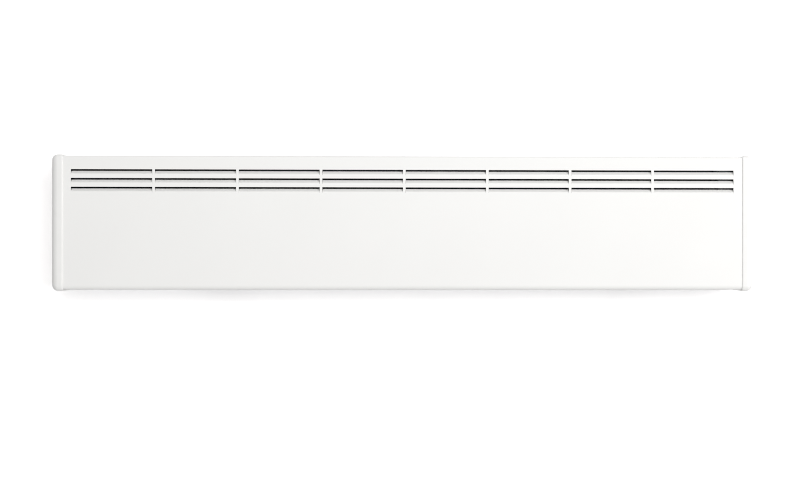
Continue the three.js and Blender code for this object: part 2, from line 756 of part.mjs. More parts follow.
// Ceramic bush about the X axis, with a neck that drops into a bracket's notch.
function rodBush() {
  const neckHalf = INNER_SHEET / 2 + FIT;
  const bore = HEATING_ROD_RADIUS + FIT;
  const half = BUSH_LENGTH / 2;
  const profile = [
    [bore, -half],
    [BUSH_RADIUS, -half],
    [BUSH_RADIUS, -neckHalf],
    [BUSH_NECK_RADIUS, -neckHalf],
    [BUSH_NECK_RADIUS, neckHalf],
    [BUSH_RADIUS, neckHalf],
    [BUSH_RADIUS, half],
    [bore, half],
    [bore, -half],
  ];
  return turned(profile, 16);
}

function rodInsulator() {
  const bore = ROD_PIN_RADIUS + FIT;
  const half = INSULATOR / 2;
  const profile = [
    [bore, -half],
    [INSULATOR_RADIUS, -half],
    [INSULATOR_RADIUS * 0.7, half],
    [bore, half],
    [bore, -half],
  ];
  return turned(profile, 12);
}

// Bracket plate across the heater with a foot on the rear panel; the foot points to the element's middle.
function supportPlate(x, foot, [frontY, lowZ, highZ]) {
  const back = innerBack - INNER_SHEET / 2;
  const bend = 1.6;
  const strip = foldedSheet([[x, frontY], [x, back, bend], [x + foot * BRACKET_FOOT, back]], INNER_SHEET);
  return alongZ(strip, [lowZ, highZ]);
}

function endSupport(x, foot) {
  const neck = BUSH_NECK_RADIUS + FIT;
  const low = elementZ - BUSH_RADIUS - SUPPORT_WIDTH;
  const high = elementZ + BUSH_NECK_RADIUS;
  const front = elementY - BUSH_RADIUS - SUPPORT_WIDTH;
  const across = [x - ROOM, x + ROOM];
  return cutBy(supportPlate(x, foot, [front, low, high]), [
    rodX(neck, across, elementY, elementZ),
    block(across, [elementY - neck, elementY + neck], [elementZ, high + ROOM]),
  ]);
}

function centreSupport(x) {
  const halfDepth = FIN_HALF_DEPTH + FIT;
  const low = elementZ - FIN_HALF_HEIGHT - SUPPORT_WIDTH;
  const plate = supportPlate(x, 1, [elementY - FIN_HALF_DEPTH - SUPPORT_WIDTH, low, elementZ]);
  const notch = block([x - ROOM, x + ROOM], [elementY - halfDepth, elementY + halfDepth], [
    elementZ - FIN_HALF_HEIGHT - FIT,
    elementZ + ROOM,
  ]);
  return plate.subtract(notch);
}

// ---------- Air deflector ----------

function airDeflector() {
  const back = innerBack - INNER_SHEET / 2;
  const strip = foldedSheet([
    [back, deflectorFoot],
    [back, deflectorBend, DEFLECTOR_RADIUS],
    [innerFront + DEFLECTOR_LIP, deflectorTop, DEFLECTOR_RADIUS],
    [innerFront, deflectorTop],
  ], INNER_SHEET);
  return alongX(strip, [-casingEnd + 2 * CAP_WIDTH / 3, lidInner - 2 * ROOM]);
}

// ---------- Control unit ----------

function controlChassis() {
  const yRange = [innerFront, innerBack];
  const zRange = [chassisBottom, chassisTop];
  const inner = ([low, high]) => [low + CHASSIS_WALL, high - CHASSIS_WALL];
  const shell = block([chassisInner, chassisOuter], yRange, zRange);
  const hollow = block([chassisInner - ROOM, chassisOuter - CHASSIS_WALL], inner(yRange), inner(zRange));
  const boss = 2 * SCREW_RADIUS;
  const bosses = chassisScrewPlaces.map(({ x, z }) =>
    rodY(boss, [innerBack - SCREW_LENGTH, innerBack - CHASSIS_WALL / 2], x, z, 16),
  );
  const through = [innerBack - SCREW_LENGTH - ROOM, innerBack + ROOM];
  return cutBy(joined(shell.subtract(hollow), ...bosses), [
    ...chassisScrewPlaces.map(({ x, z }) => screwHole(x, z, through)),
    rodY(GLAND_RADIUS + FIT, [innerBack - CHASSIS_WALL - 1, innerBack + ROOM], chassisMiddleX, glandZ),
    ...controlHoles([chassisOuter - CHASSIS_WALL - 1, chassisOuter + 1]),
  ]);
}

function chassisLid() {
  const plate = alongX(
    rectangle([innerFront, innerBack], [chassisBottom, chassisTop], CHASSIS_WALL),
    [lidInner, lidOuter],
  );
  const exits = lidExits.map(([y, z]) => rodX(WIRE_RADIUS + 2 * RUN, [lidInner - ROOM, lidOuter + ROOM], y, z, 12));
  return cutBy(plate, exits);
}

const thermostatOuter = chassisOuter - CHASSIS_WALL - FIT;
const thermostatInner = thermostatOuter - THERMOSTAT_DEPTH;

function thermostatBody() {
  const half = THERMOSTAT_HALF;
  const body = block(
    [thermostatInner, thermostatOuter],
    [controlY - half, controlY + half],
    [dialZ - half, dialZ + half],
  );
  const bore = rodX(SHAFT_RADIUS + RUN, [thermostatOuter - SHAFT_IN_BODY, thermostatOuter + ROOM], controlY, dialZ);
  return body.subtract(bore);
}

// The shaft's round section with one flat, which keeps the knob from slipping.
function shaftSection(grow) {
  const radius = SHAFT_RADIUS + grow;
  const flat = SHAFT_FLAT + grow;
  const reach = Math.acos(flat / radius);
  const points = repeat(17, (i) => {
    const turn = reach + (i / 16) * 2 * (Math.PI - reach);
    return new THREE.Vector2(radius * Math.cos(turn), radius * Math.sin(turn));
  });
  return new THREE.Shape(points);
}

const knobBack = recessFloor + RUN;
const knobFront = capOuter - RUN;
const shaftEnd = knobFront - KNOB_WALL;

function thermostatShaft() {
  return alongX(shaftSection(0), [thermostatOuter - SHAFT_IN_BODY + RUN, shaftEnd - FIT]);
}

function thermostatKnob() {
  const points = repeat(KNOB_FLUTES * 4, (i) => {
    const dip = [0, 0, 0.8, 0.8][i % 4] * KNOB_FLUTE_DEPTH;
    const turn = (i / (KNOB_FLUTES * 4)) * 2 * Math.PI;
    return new THREE.Vector2((KNOB_RADIUS - dip) * Math.cos(turn), (KNOB_RADIUS - dip) * Math.sin(turn));
  });
  const rimStart = knobBack + (knobFront - knobBack) / 4;
  const skirt = rodX(KNOB_RADIUS, [knobBack, rimStart + FIT], 0, 0, 36);
  const grip = alongX(new THREE.Shape(points), [rimStart, knobFront]);
  const pointer = block([knobFront - 0.8, knobFront + ROOM], [-0.7, 0.7], [KNOB_RADIUS * 0.45, KNOB_RADIUS * 0.9]);
  const bore = alongX(shaftSection(FIT), [knobBack - ROOM, shaftEnd]);
  return cutBy(joined(skirt, grip), [pointer, bore]);
}

function indicatorLens() {
  const top = recessFloor + LAMP_RADIUS / 2;
  const profile = [
    [0, top - LAMP_LENGTH],
    [LAMP_RADIUS, top - LAMP_LENGTH],
    [LAMP_RADIUS, recessFloor + FIT],
    [LAMP_RADIUS * 1.25, recessFloor + FIT],
    [LAMP_RADIUS * 1.1, recessFloor + LAMP_RADIUS / 4],
    [LAMP_RADIUS * 0.7, top - LAMP_RADIUS / 8],
    [0, top],
  ];
  return turned(profile, 16);
}

const rockerX = recessFloor - SWITCH_BEZEL;

function switchHousing() {
  const back = rockerX - SWITCH_DEPTH;
  const y = (grow) => [controlY - SWITCH_HALF_WIDTH - grow, controlY + SWITCH_HALF_WIDTH + grow];
  const z = (grow) => [switchZ - SWITCH_HALF_HEIGHT - grow, switchZ + SWITCH_HALF_HEIGHT + grow];
  const bezelFront = recessFloor + FIT + SWITCH_BEZEL;
  const body = block([back, recessFloor + FIT + SWITCH_BEZEL / 2], y(0), z(0));
  const bezel = alongX(
    rectangle(y(SWITCH_BEZEL), z(SWITCH_BEZEL), SWITCH_BEZEL, 3),
    [recessFloor + FIT, bezelFront],
  );
  const pocket = block([rockerX - SWITCH_DEPTH / 3, bezelFront + ROOM], y(-SWITCH_WALL), z(-SWITCH_WALL));
  return joined(body, bezel).subtract(pocket);
}

// The rocker about its pivot along Y; its outer face is two flats that meet over the pivot.
function switchRocker() {
  const half = SWITCH_HALF_HEIGHT - SWITCH_WALL - 2 * RUN;
  const outer = recessFloor + FIT + SWITCH_BEZEL - rockerX + ROCKER_PROUD;
  const depth = SWITCH_DEPTH / 6;
  const fall = half * Math.tan(ROCKER_TILT);
  const sideView = outline([
    [-depth, -half * 0.7, 1],
    [outer - 2 * fall, -half, 0.6],
    [outer - 2 * fall + half * Math.tan(ROCKER_TILT), 0],
    [outer - 2 * fall, half, 0.6],
    [-depth, half * 0.7, 1],
  ], 3);
  const halfWidth = SWITCH_HALF_WIDTH - SWITCH_WALL - RUN;
  return alongY(sideView, [-halfWidth, halfWidth]);
}

function terminalBlock() {
  const width = BLOCK_POLE * BLOCK_POLES;
  const left = chassisMiddleX - width / 2;
  const back = innerBack - CHASSIS_WALL - FIT;
  const low = blockZ - BLOCK_HEIGHT / 2;
  const high = blockZ + BLOCK_HEIGHT / 2;
  const base = block([left, left + width], [back - BLOCK_DEPTH / 2, back], [low, high]);
  const towers = repeat(BLOCK_POLES, (i) => {
    const x = left + (i + 0.5) * BLOCK_POLE;
    const half = BLOCK_POLE / 2 - 2 * FIT;
    const tower = block([x - half, x + half], [back - BLOCK_DEPTH, back - BLOCK_DEPTH / 4], [low, high]);
    const well = rodY(half / 2, [back - BLOCK_DEPTH - 1, back - BLOCK_DEPTH / 2], x, blockZ, 10);
    return tower.subtract(well);
  });
  return joined(base, ...towers);
}

// Strain relief for the supply cord: a flange behind the rear panel, a body through it and a bore for the cord.
function cordGland() {
  const flangeBack = panelBack + FIT;
  const inside = innerBack - CHASSIS_WALL - ROOM;
  const profile = [
    [GLAND_BORE, inside],
    [GLAND_RADIUS, inside],
    [GLAND_RADIUS, flangeBack],
    [GLAND_FLANGE_RADIUS, flangeBack],
    [GLAND_FLANGE_RADIUS, flangeBack + 2],
    [GLAND_RADIUS, flangeBack + 2],
    [GLAND_RADIUS * 0.85, panelBack + GLAND_REACH],
    [GLAND_BORE, panelBack + GLAND_REACH],
    [GLAND_BORE, inside],
  ];
  return turned(profile, 20);
}

// ---------- Overheat cut-out, earth screw, wires and clips ----------

const cutoutX = lidInner - CUTOUT_BACK_FROM_CHASSIS;
const cutoutZ = (elementZ + FIN_HALF_HEIGHT + deflectorFoot) / 2; // between the fins and the deflector
const tabHalf = CUTOUT_RADIUS / 2;
const cutoutFront = innerBack - CUTOUT_DEPTH;
const earthScrewPlace = { x: lidInner - EARTH_SCREW_INSET, z: returnWireZ + EARTH_SCREW_RISE };

// Bimetal disc switch on the rear panel, with two tabs for its wires.
function overheatCutout() {
  const flange = outline([
    [-2 * CUTOUT_RADIUS, -CUTOUT_RADIUS / 2, 2],
    [2 * CUTOUT_RADIUS, -CUTOUT_RADIUS / 2, 2],
    [2 * CUTOUT_RADIUS, CUTOUT_RADIUS / 2, 2],
    [-2 * CUTOUT_RADIUS, CUTOUT_RADIUS / 2, 2],
  ], 3);
  const tabs = [-tabHalf, tabHalf].map((x) =>
    block([x - 0.4, x + 0.4], [cutoutFront - 6, cutoutFront + 1], [-2.4, 2.4]),
  );
  return joined(
    alongY(flange, [innerBack - INNER_SHEET, innerBack]),
    rodY(CUTOUT_RADIUS, [cutoutFront, innerBack - INNER_SHEET / 2], 0, 0, 24),
    ...tabs,
  );
}

const wirePitch = 4 * (WIRE_RADIUS + FIT); // between wires that run side by side
const wireEnd = 2 * FIT; // wire's end to the face it ends at
const blockTop = blockZ + BLOCK_HEIGHT / 2;
const blockY = innerBack - CHASSIS_WALL - FIT - (BLOCK_DEPTH * 3) / 4;
const poleX = (i) => chassisMiddleX + (i - (BLOCK_POLES - 1) / 2) * BLOCK_POLE;
const wireY = innerBack - WIRE_RADIUS - FIT - ROOM; // wires along the rear panel
const lidExits = [
  [controlY - wirePitch, blockTop + HEATER_EXIT_RISE],
  [controlY + wirePitch, blockTop + NEUTRAL_EXIT_RISE],
  [controlY + wirePitch, blockTop + NEUTRAL_EXIT_RISE + wirePitch],
];

function wires() {
  const switchBack = rockerX - SWITCH_DEPTH - wireEnd;
  const [heaterExit, neutralExit, earthExit] = lidExits;
  const tabFront = cutoutFront - 6 - wireEnd;
  const inLid = (exit) => [lidOuter + 2 * ROOM, lidInner - 2 * ROOM, lidInner - 4 * ROOM].map((x) => [x, ...exit]);
  const outLid = (exit) => inLid(exit).reverse();
  return [
    ["wire_live_to_switch", "wireBrown", [
      [poleX(2), blockY, blockTop + wireEnd],
      [poleX(2), blockY, blockTop + WIRE_LEAD],
      [switchBack - WIRE_LEAD, controlY, switchZ - SWITCH_HALF_HEIGHT - WIRE_LEAD],
      [switchBack - WIRE_LEAD - RUN, controlY, switchZ - WIRE_LEAD - RUN],
      [switchBack - WIRE_LEAD + RUN, controlY, switchZ - WIRE_LEAD],
      [switchBack, controlY, switchZ - WIRE_LEAD],
    ]],
    ["wire_switch_to_thermostat", "wireBrown", [
      [switchBack, controlY, switchZ + WIRE_LEAD],
      [switchBack - WIRE_LEAD, controlY, switchZ + WIRE_LEAD],
      [thermostatInner + WIRE_LEAD, controlY, dialZ - THERMOSTAT_HALF - 2 * WIRE_LEAD],
      [thermostatInner + WIRE_LEAD, controlY, dialZ - THERMOSTAT_HALF - wireEnd],
    ]],
    ["wire_thermostat_to_cutout", "wireBrown", [
      [thermostatInner - wireEnd, heaterExit[0], dialZ - THERMOSTAT_HALF / 2],
      [thermostatInner - WIRE_LEAD, heaterExit[0], dialZ - THERMOSTAT_HALF / 2],
      [chassisInner + WIRE_LEAD, heaterExit[0], dialZ - THERMOSTAT_HALF - WIRE_LEAD],
      [chassisInner + WIRE_LEAD, heaterExit[0], heaterExit[1] + WIRE_SWEEP / 2],
      ...inLid(heaterExit),
      [lidInner - 2 * WIRE_SWEEP, (heaterExit[0] + tabFront) / 2, (heaterExit[1] + cutoutZ) / 2],
      [cutoutX + tabHalf + WIRE_SWEEP / 2, tabFront - WIRE_LEAD, cutoutZ + ROOM],
      [cutoutX + tabHalf, tabFront - WIRE_LEAD, cutoutZ],
      [cutoutX + tabHalf, tabFront, cutoutZ],
    ]],
    ["wire_cutout_to_element", "wireBrown", [
      [cutoutX - tabHalf, tabFront, cutoutZ],
      [cutoutX - tabHalf, tabFront - WIRE_LEAD, cutoutZ],
      [cutoutX - tabHalf + WIRE_LEAD, elementY, cutoutZ - ROOM],
      [supportRightX, elementY + ROOM, cutoutZ - 2 * WIRE_LEAD],
      [pinRight + WIRE_SWEEP / 2, elementY, elementZ + WIRE_SWEEP],
      [pinRight + WIRE_SWEEP / 2, elementY, elementZ + WIRE_LEAD],
      [pinRight + WIRE_LEAD, elementY, elementZ],
      [pinRight + wireEnd, elementY, elementZ],
    ]],
    ["wire_element_return", "wireBlue", [
      [pinLeft - wireEnd, elementY, elementZ],
      [pinLeft - WIRE_LEAD, elementY, elementZ],
      [pinLeft - WIRE_SWEEP / 2, elementY, elementZ - WIRE_LEAD],
      [pinLeft - WIRE_SWEEP / 2, (elementY + wireY) / 2, returnWireZ + WIRE_SWEEP],
      [pinLeft, wireY, returnWireZ + ROOM],
      [pinLeft + WIRE_SWEEP, wireY, returnWireZ],
      [pinLeft + 3 * WIRE_SWEEP, wireY, returnWireZ],
      [-clipX - CLIP_WIDTH, wireY, returnWireZ],
      [clipX + CLIP_WIDTH, wireY, returnWireZ],
      [earthScrewPlace.x - 2 * WIRE_SWEEP, wireY, returnWireZ],
      [earthScrewPlace.x - WIRE_LEAD, wireY, returnWireZ + RUN],
      [lidInner - WIRE_SWEEP, (wireY + neutralExit[0]) / 2, returnWireZ + WIRE_SWEEP],
      [lidInner - WIRE_SWEEP, neutralExit[0], neutralExit[1] - WIRE_SWEEP],
      ...outLid(neutralExit),
      [poleX(0), blockY - ROOM, blockTop + WIRE_SWEEP / 2],
      [poleX(0), blockY, blockTop + WIRE_LEAD],
      [poleX(0), blockY, blockTop + wireEnd],
    ]],
    ["wire_earth", "wireGreen", [
      [poleX(1), blockY, blockTop + wireEnd],
      [poleX(1), blockY, blockTop + WIRE_LEAD],
      [poleX(1) - WIRE_LEAD, (blockY + earthExit[0]) / 2, earthExit[1]],
      ...inLid(earthExit),
      [earthScrewPlace.x + WIRE_LEAD, earthExit[0] + 2 * ROOM, earthExit[1] - 2 * WIRE_LEAD],
      [earthScrewPlace.x, wireY - 2 * ROOM, earthScrewPlace.z + 4 * WIRE_LEAD],
      [earthScrewPlace.x, wireY, earthScrewPlace.z + SCREW_HEAD_RADIUS + WIRE_LEAD],
      [earthScrewPlace.x, wireY, earthScrewPlace.z + SCREW_HEAD_RADIUS + wireEnd],
    ]],
  ];
}

// Saddle clip on the rear panel, with a bore for the return wire.
function wireClip() {
  const half = WIRE_RADIUS + FIT + INNER_SHEET;
  const body = outline([
    [wireY - half, -half, half * 0.8],
    [innerBack, -half],
    [innerBack, half],
    [wireY - half, half, half * 0.8],
  ]);
  const bar = alongX(body, [-CLIP_WIDTH / 2, CLIP_WIDTH / 2]);
  return bar.subtract(rodX(WIRE_RADIUS + FIT, [-CLIP_WIDTH, CLIP_WIDTH], wireY, 0, 12));
}

// ---------- Assembly ----------

const convector = new THREE.Group();

const bracket = new THREE.Group();
convector.add(bracket);
piece(bracket, "wall_bracket", wallBracket(), "zincSteel");
piece(bracket, "bracket_lock_left", bracketLock(), "plasticGrey", [-uprightX, 0, lockZ]);
piece(bracket, "bracket_lock_right", bracketLock(), "plasticGrey", [uprightX, 0, lockZ]);

const heater = new THREE.Group();
convector.add(heater);
piece(heater, "front_casing", frontCasing(), "powderWhite");
piece(heater, "rear_panel", rearPanel(), "zincSteel");
piece(heater, "left_end_cap", endCap(-1), "plasticWhite");
piece(heater, "right_end_cap", rightEndCap(), "plasticWhite");
capScrewPlaces.forEach(({ name, x, z }) =>
  piece(heater, name, screwSolid(), "brightSteel", [x, capBack + FIT, z]),
);
[...panelScrewPlaces, ...chassisScrewPlaces].forEach(({ name, x, z }) =>
  piece(heater, name, screwSolid(), "brightSteel", [x, panelBack + FIT, z]),
);

const element = new THREE.Group();
heater.add(element);
piece(element, "element_fins", finBody(), "aluminium");
piece(element, "heating_rod", heatingRod(), "brightSteel");
piece(element, "element_bracket_left", endSupport(supportLeftX, 1), "zincSteel");
piece(element, "element_bracket_centre", centreSupport(CENTRE_SUPPORT_X), "zincSteel");
piece(element, "element_bracket_right", endSupport(supportRightX, -1), "zincSteel");
[["left", supportLeftX, -1], ["right", supportRightX, 1]].forEach(([where, x, side]) => {
  const turn = -side * Math.PI / 2;
  const bush = piece(element, "rod_bush_" + where, rodBush(), "ceramic", [x, elementY, elementZ]);
  bush.rotation.z = turn;
  const sheathEnd = side < 0 ? elementLeft - ROD_END : elementRight + ROD_END;
  const seat = sheathEnd + side * (FIT + INSULATOR / 2);
  const cone = piece(element, "rod_insulator_" + where, rodInsulator(), "ceramic", [seat, elementY, elementZ]);
  cone.rotation.z = turn;
});
piece(heater, "air_deflector", airDeflector(), "blackSteel");

const controls = new THREE.Group();
heater.add(controls);
piece(controls, "control_chassis", controlChassis(), "plasticDark");
piece(controls, "chassis_lid", chassisLid(), "plasticDark");
piece(controls, "thermostat_body", thermostatBody(), "plasticDark");
piece(controls, "thermostat_shaft", thermostatShaft(), "brass", [0, controlY, dialZ]);
piece(controls, "thermostat_knob", thermostatKnob(), "plasticWhite", [0, controlY, dialZ]);
const lens = piece(controls, "indicator_lens", indicatorLens(), "lampAmber", [0, controlY, lampZ]);
lens.rotation.z = -Math.PI / 2;
piece(controls, "switch_housing", switchHousing(), "plasticDark");
const rocker = piece(controls, "switch_rocker", switchRocker(), "plasticWhite", [rockerX, controlY, switchZ]);
rocker.rotation.y = ROCKER_TILT;
piece(controls, "terminal_block", terminalBlock(), "plasticGrey");
piece(controls, "cord_gland", cordGland(), "plasticDark", [chassisMiddleX, 0, glandZ]);

const wiring = new THREE.Group();
heater.add(wiring);
piece(wiring, "overheat_cutout", overheatCutout(), "plasticDark", [cutoutX, 0, cutoutZ]);
const earth = piece(wiring, "earth_screw", screwSolid(), "brass", [earthScrewPlace.x, innerBack, earthScrewPlace.z]);
earth.rotation.z = Math.PI;
wires().forEach(([name, finish, points]) =>
  piece(wiring, name, tube(points, WIRE_RADIUS, WIRE_SIDES, 3), finish),
);
piece(wiring, "wire_clip_left", wireClip(), "plasticDark", [-clipX, 0, returnWireZ]);
piece(wiring, "wire_clip_right", wireClip(), "plasticDark", [clipX, 0, returnWireZ]);

export default convector;
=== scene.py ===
"""Looks of the wall panel convector heater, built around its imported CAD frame.

Lengths in this script are millimetres unless a name says otherwise, in the frame of the CAD model:
+X along the heater to the right, +Y to the wall, +Z up, with the origin on the wall plane.
"""

import math

import bmesh
import bpy
from mathutils import Matrix, Vector


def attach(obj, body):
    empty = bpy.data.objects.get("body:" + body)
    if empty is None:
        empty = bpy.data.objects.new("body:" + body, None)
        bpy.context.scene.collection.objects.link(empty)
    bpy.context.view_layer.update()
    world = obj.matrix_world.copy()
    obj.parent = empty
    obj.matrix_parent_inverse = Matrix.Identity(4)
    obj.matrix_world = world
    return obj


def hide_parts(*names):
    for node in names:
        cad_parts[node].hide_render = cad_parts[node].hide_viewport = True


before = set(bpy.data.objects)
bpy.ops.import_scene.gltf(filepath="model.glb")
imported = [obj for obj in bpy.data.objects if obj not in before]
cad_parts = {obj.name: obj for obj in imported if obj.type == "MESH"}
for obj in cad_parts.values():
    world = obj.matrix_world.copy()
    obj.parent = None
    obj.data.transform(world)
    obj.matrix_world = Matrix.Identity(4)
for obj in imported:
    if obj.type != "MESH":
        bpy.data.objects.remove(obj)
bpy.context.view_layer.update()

MM = 0.001
scene = bpy.context.scene

# ---------- Outlines ----------


def turned_by(point, centre, angle):
    d = point - centre
    c, s = math.cos(angle), math.sin(angle)
    return centre + Vector((d.x * c - d.y * s, d.x * s + d.y * c))


def corner_arc(before, corner, after, radius, steps):
    """The arc that rounds a corner, or the corner itself where it is sharp."""
    if radius < 1e-6:
        return [corner.copy()]
    into, out = (corner - before).normalized(), (after - corner).normalized()
    bend = math.atan2(into.x * out.y - into.y * out.x, into.dot(out))
    start = corner - into * radius * math.tan(abs(bend) / 2)
    side = math.copysign(radius, bend)
    centre = start + Vector((-into.y, into.x)) * side
    return [turned_by(start, centre, bend * k / steps) for k in range(steps + 1)]


def outline(corners, steps=8):
    """A closed outline from corners (a, b, radius)."""
    p = [Vector(c[:2]) for c in corners]
    n = len(p)
    return [
        q
        for i, c in enumerate(corners)
        for q in corner_arc(p[i - 1], p[i], p[(i + 1) % n], c[2], steps)
    ]


def rectangle(a0, a1, b0, b1, radius=0.0, steps=8):
    return outline([(a0, b0, radius), (a1, b0, radius), (a1, b1, radius), (a0, b1, radius)], steps)


def circle(a, b, radius, sides=32):
    turns = [2 * math.pi * i / sides for i in range(sides)]
    return [Vector((a + radius * math.cos(t), b + radius * math.sin(t))) for t in turns]


def strip_side(corners, shift, steps):
    """One side of a bent strip: its middle line moved sideways, with each bend's radius to match."""
    p = [Vector(c[:2]) for c in corners]
    runs = [(b - a).normalized() for a, b in zip(p, p[1:])]
    last = len(p) - 1
    moved = []
    for i, q in enumerate(p):
        before, after = runs[max(i - 1, 0)], runs[min(i, last - 1)]
        across = Vector((-before.y - after.y, before.x + after.x))
        moved.append(q + across * (shift / (1 + before.dot(after))))
    line = [moved[0]]
    for i in range(1, last):
        turn = math.copysign(1, runs[i - 1].x * runs[i].y - runs[i - 1].y * runs[i].x)
        line += corner_arc(moved[i - 1], moved[i], moved[i + 1], corners[i][2] - turn * shift, steps)
    return line + [moved[last]]


# ---------- Meshes ----------


class Skin:
    """A mesh made of rings of points that are joined by quads and closed by filled outlines."""

    def __init__(self):
        self.bm = bmesh.new()

    def ring(self, points):
        return [self.bm.verts.new(p) for p in points]

    def quad(self, *verts):
        return self.bm.faces.new(verts)

    def join(self, a, b, closed=True):
        n = len(a)
        for i in range(n if closed else n - 1):
            j = (i + 1) % n
            self.quad(a[i], a[j], b[j], b[i])

    def tunnel(self, rings):
        for a, b in zip(rings, rings[1:]):
            self.join(a, b)

    def fill(self, *loops):
        """Fills the flat area inside the first loop and outside the others."""
        edges = []
        for loop in loops:
            for a, b in zip(loop, loop[1:] + loop[:1]):
                edges.append(self.bm.edges.get((a, b)) or self.bm.edges.new((a, b)))
        bmesh.ops.triangle_fill(self.bm, use_beauty=True, use_dissolve=False, edges=edges)

    def done(self):
        bmesh.ops.recalc_face_normals(self.bm, faces=self.bm.faces)
        return self.bm


def along_x(points, x):
    return [(x, p[0], p[1]) for p in points]


def lathe(profile, sides, axis="X"):
    """A closed body turned about an axis, from (along, radius) points; a radius of 0 is a point on the axis."""
    skin = Skin()
    place = {
        "X": lambda t, a, b: (t, a, b),
        "Y": lambda t, a, b: (b, t, a),
    }[axis]
    rings = []
    for t, r in profile:
        if r < 1e-6:
            rings.append([skin.bm.verts.new(place(t, 0, 0))])
        else:
            rings.append(skin.ring([place(t, p.x, p.y) for p in circle(0, 0, r, sides)]))
    closed = profile[0][1] > 1e-6
    pairs = list(zip(rings, rings[1:])) + ([(rings[-1], rings[0])] if closed else [])
    for a, b in pairs:
        if len(a) == 1 or len(b) == 1:
            tip, rim = (a[0], b) if len(a) == 1 else (b[0], a)
            for i in range(sides):
                skin.bm.faces.new((tip, rim[i], rim[(i + 1) % sides]))
        else:
            skin.join(a, b)
    return skin.done()


PROFILE_STEPS = 5  # points less one of a rounded corner in a profile


def smooth_profile(points):
    """An open profile whose inner points (along, radius, rounding) are rounded."""
    p = [Vector(q[:2]) for q in points]
    line = [p[0]]
    for i in range(1, len(p) - 1):
        rounding = points[i][2] if len(points[i]) > 2 else 0
        line += corner_arc(p[i - 1], p[i], p[i + 1], rounding, PROFILE_STEPS)
    return [tuple(q) for q in line + [p[-1]]]


def smooth_group():
    group = bpy.data.node_groups.new("smooth_faces", "GeometryNodeTree")
    group.interface.new_socket("Geometry", in_out="INPUT", socket_type="NodeSocketGeometry")
    group.interface.new_socket("Geometry", in_out="OUTPUT", socket_type="NodeSocketGeometry")
    start, end = group.nodes.new("NodeGroupInput"), group.nodes.new("NodeGroupOutput")
    smooth = group.nodes.new("GeometryNodeSetShadeSmooth")
    group.links.new(start.outputs[0], smooth.inputs["Geometry"])
    group.links.new(smooth.outputs[0], end.inputs[0])
    return group


SMOOTH = smooth_group()
SHARP_ANGLE = math.radians(38)  # edges sharper than this are rounded
NORMAL_WEIGHT = 60


def soften(obj, width):
    """Rounds the sharp edges of a piece and shades it as one body."""
    if width > 0:
        bevel = obj.modifiers.new("round_edges", "BEVEL")
        bevel.width = width * MM
        bevel.segments = 2
        bevel.limit_method = "ANGLE"
        bevel.angle_limit = SHARP_ANGLE
        bevel.use_clamp_overlap = True
    smooth = obj.modifiers.new("smooth", "NODES")
    smooth.node_group = SMOOTH
    normals = obj.modifiers.new("even_normals", "WEIGHTED_NORMAL")
    normals.keep_sharp = True
    normals.weight = NORMAL_WEIGHT


def piece(name, bm, material, slot, body, nodes=(), width=0.0):
    """Turns a mesh in millimetres into a piece that rides on a CAD body."""
    bm.transform(Matrix.Scale(MM, 4))
    mesh = bpy.data.meshes.new(name)
    bm.to_mesh(mesh)
    bm.free()
    obj = bpy.data.objects.new(name, mesh)
    scene.collection.objects.link(obj)
    mesh.materials.append(material)
    soften(obj, width)
    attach(obj, body)
    if nodes:
        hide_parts(*nodes)
    return obj


def cut(target, tool):
    """The first mesh with the second one taken out of it."""
    objs = []
    for name, bm in (("target", target), ("tool", tool)):
        mesh = bpy.data.meshes.new(name)
        bm.to_mesh(mesh)
        bm.free()
        obj = bpy.data.objects.new(name, mesh)
        scene.collection.objects.link(obj)
        objs.append(obj)
    boolean = objs[0].modifiers.new("cut", "BOOLEAN")
    boolean.operation, boolean.solver, boolean.object = "DIFFERENCE", "EXACT", objs[1]
    evaluated = objs[0].evaluated_get(bpy.context.evaluated_depsgraph_get())
    left = bmesh.new()
    left.from_mesh(evaluated.to_mesh())
    evaluated.to_mesh_clear()
    for obj in objs:
        mesh = obj.data
        bpy.data.objects.remove(obj)
        bpy.data.meshes.remove(mesh)
    return left


def merged(*parts):
    """Several meshes as one."""
    whole = bmesh.new()
    for bm in parts:
        mesh = bpy.data.meshes.new("part")
        bm.to_mesh(mesh)
        bm.free()
        whole.from_mesh(mesh)
        bpy.data.meshes.remove(mesh)
    return whole


# ---------- Materials ----------


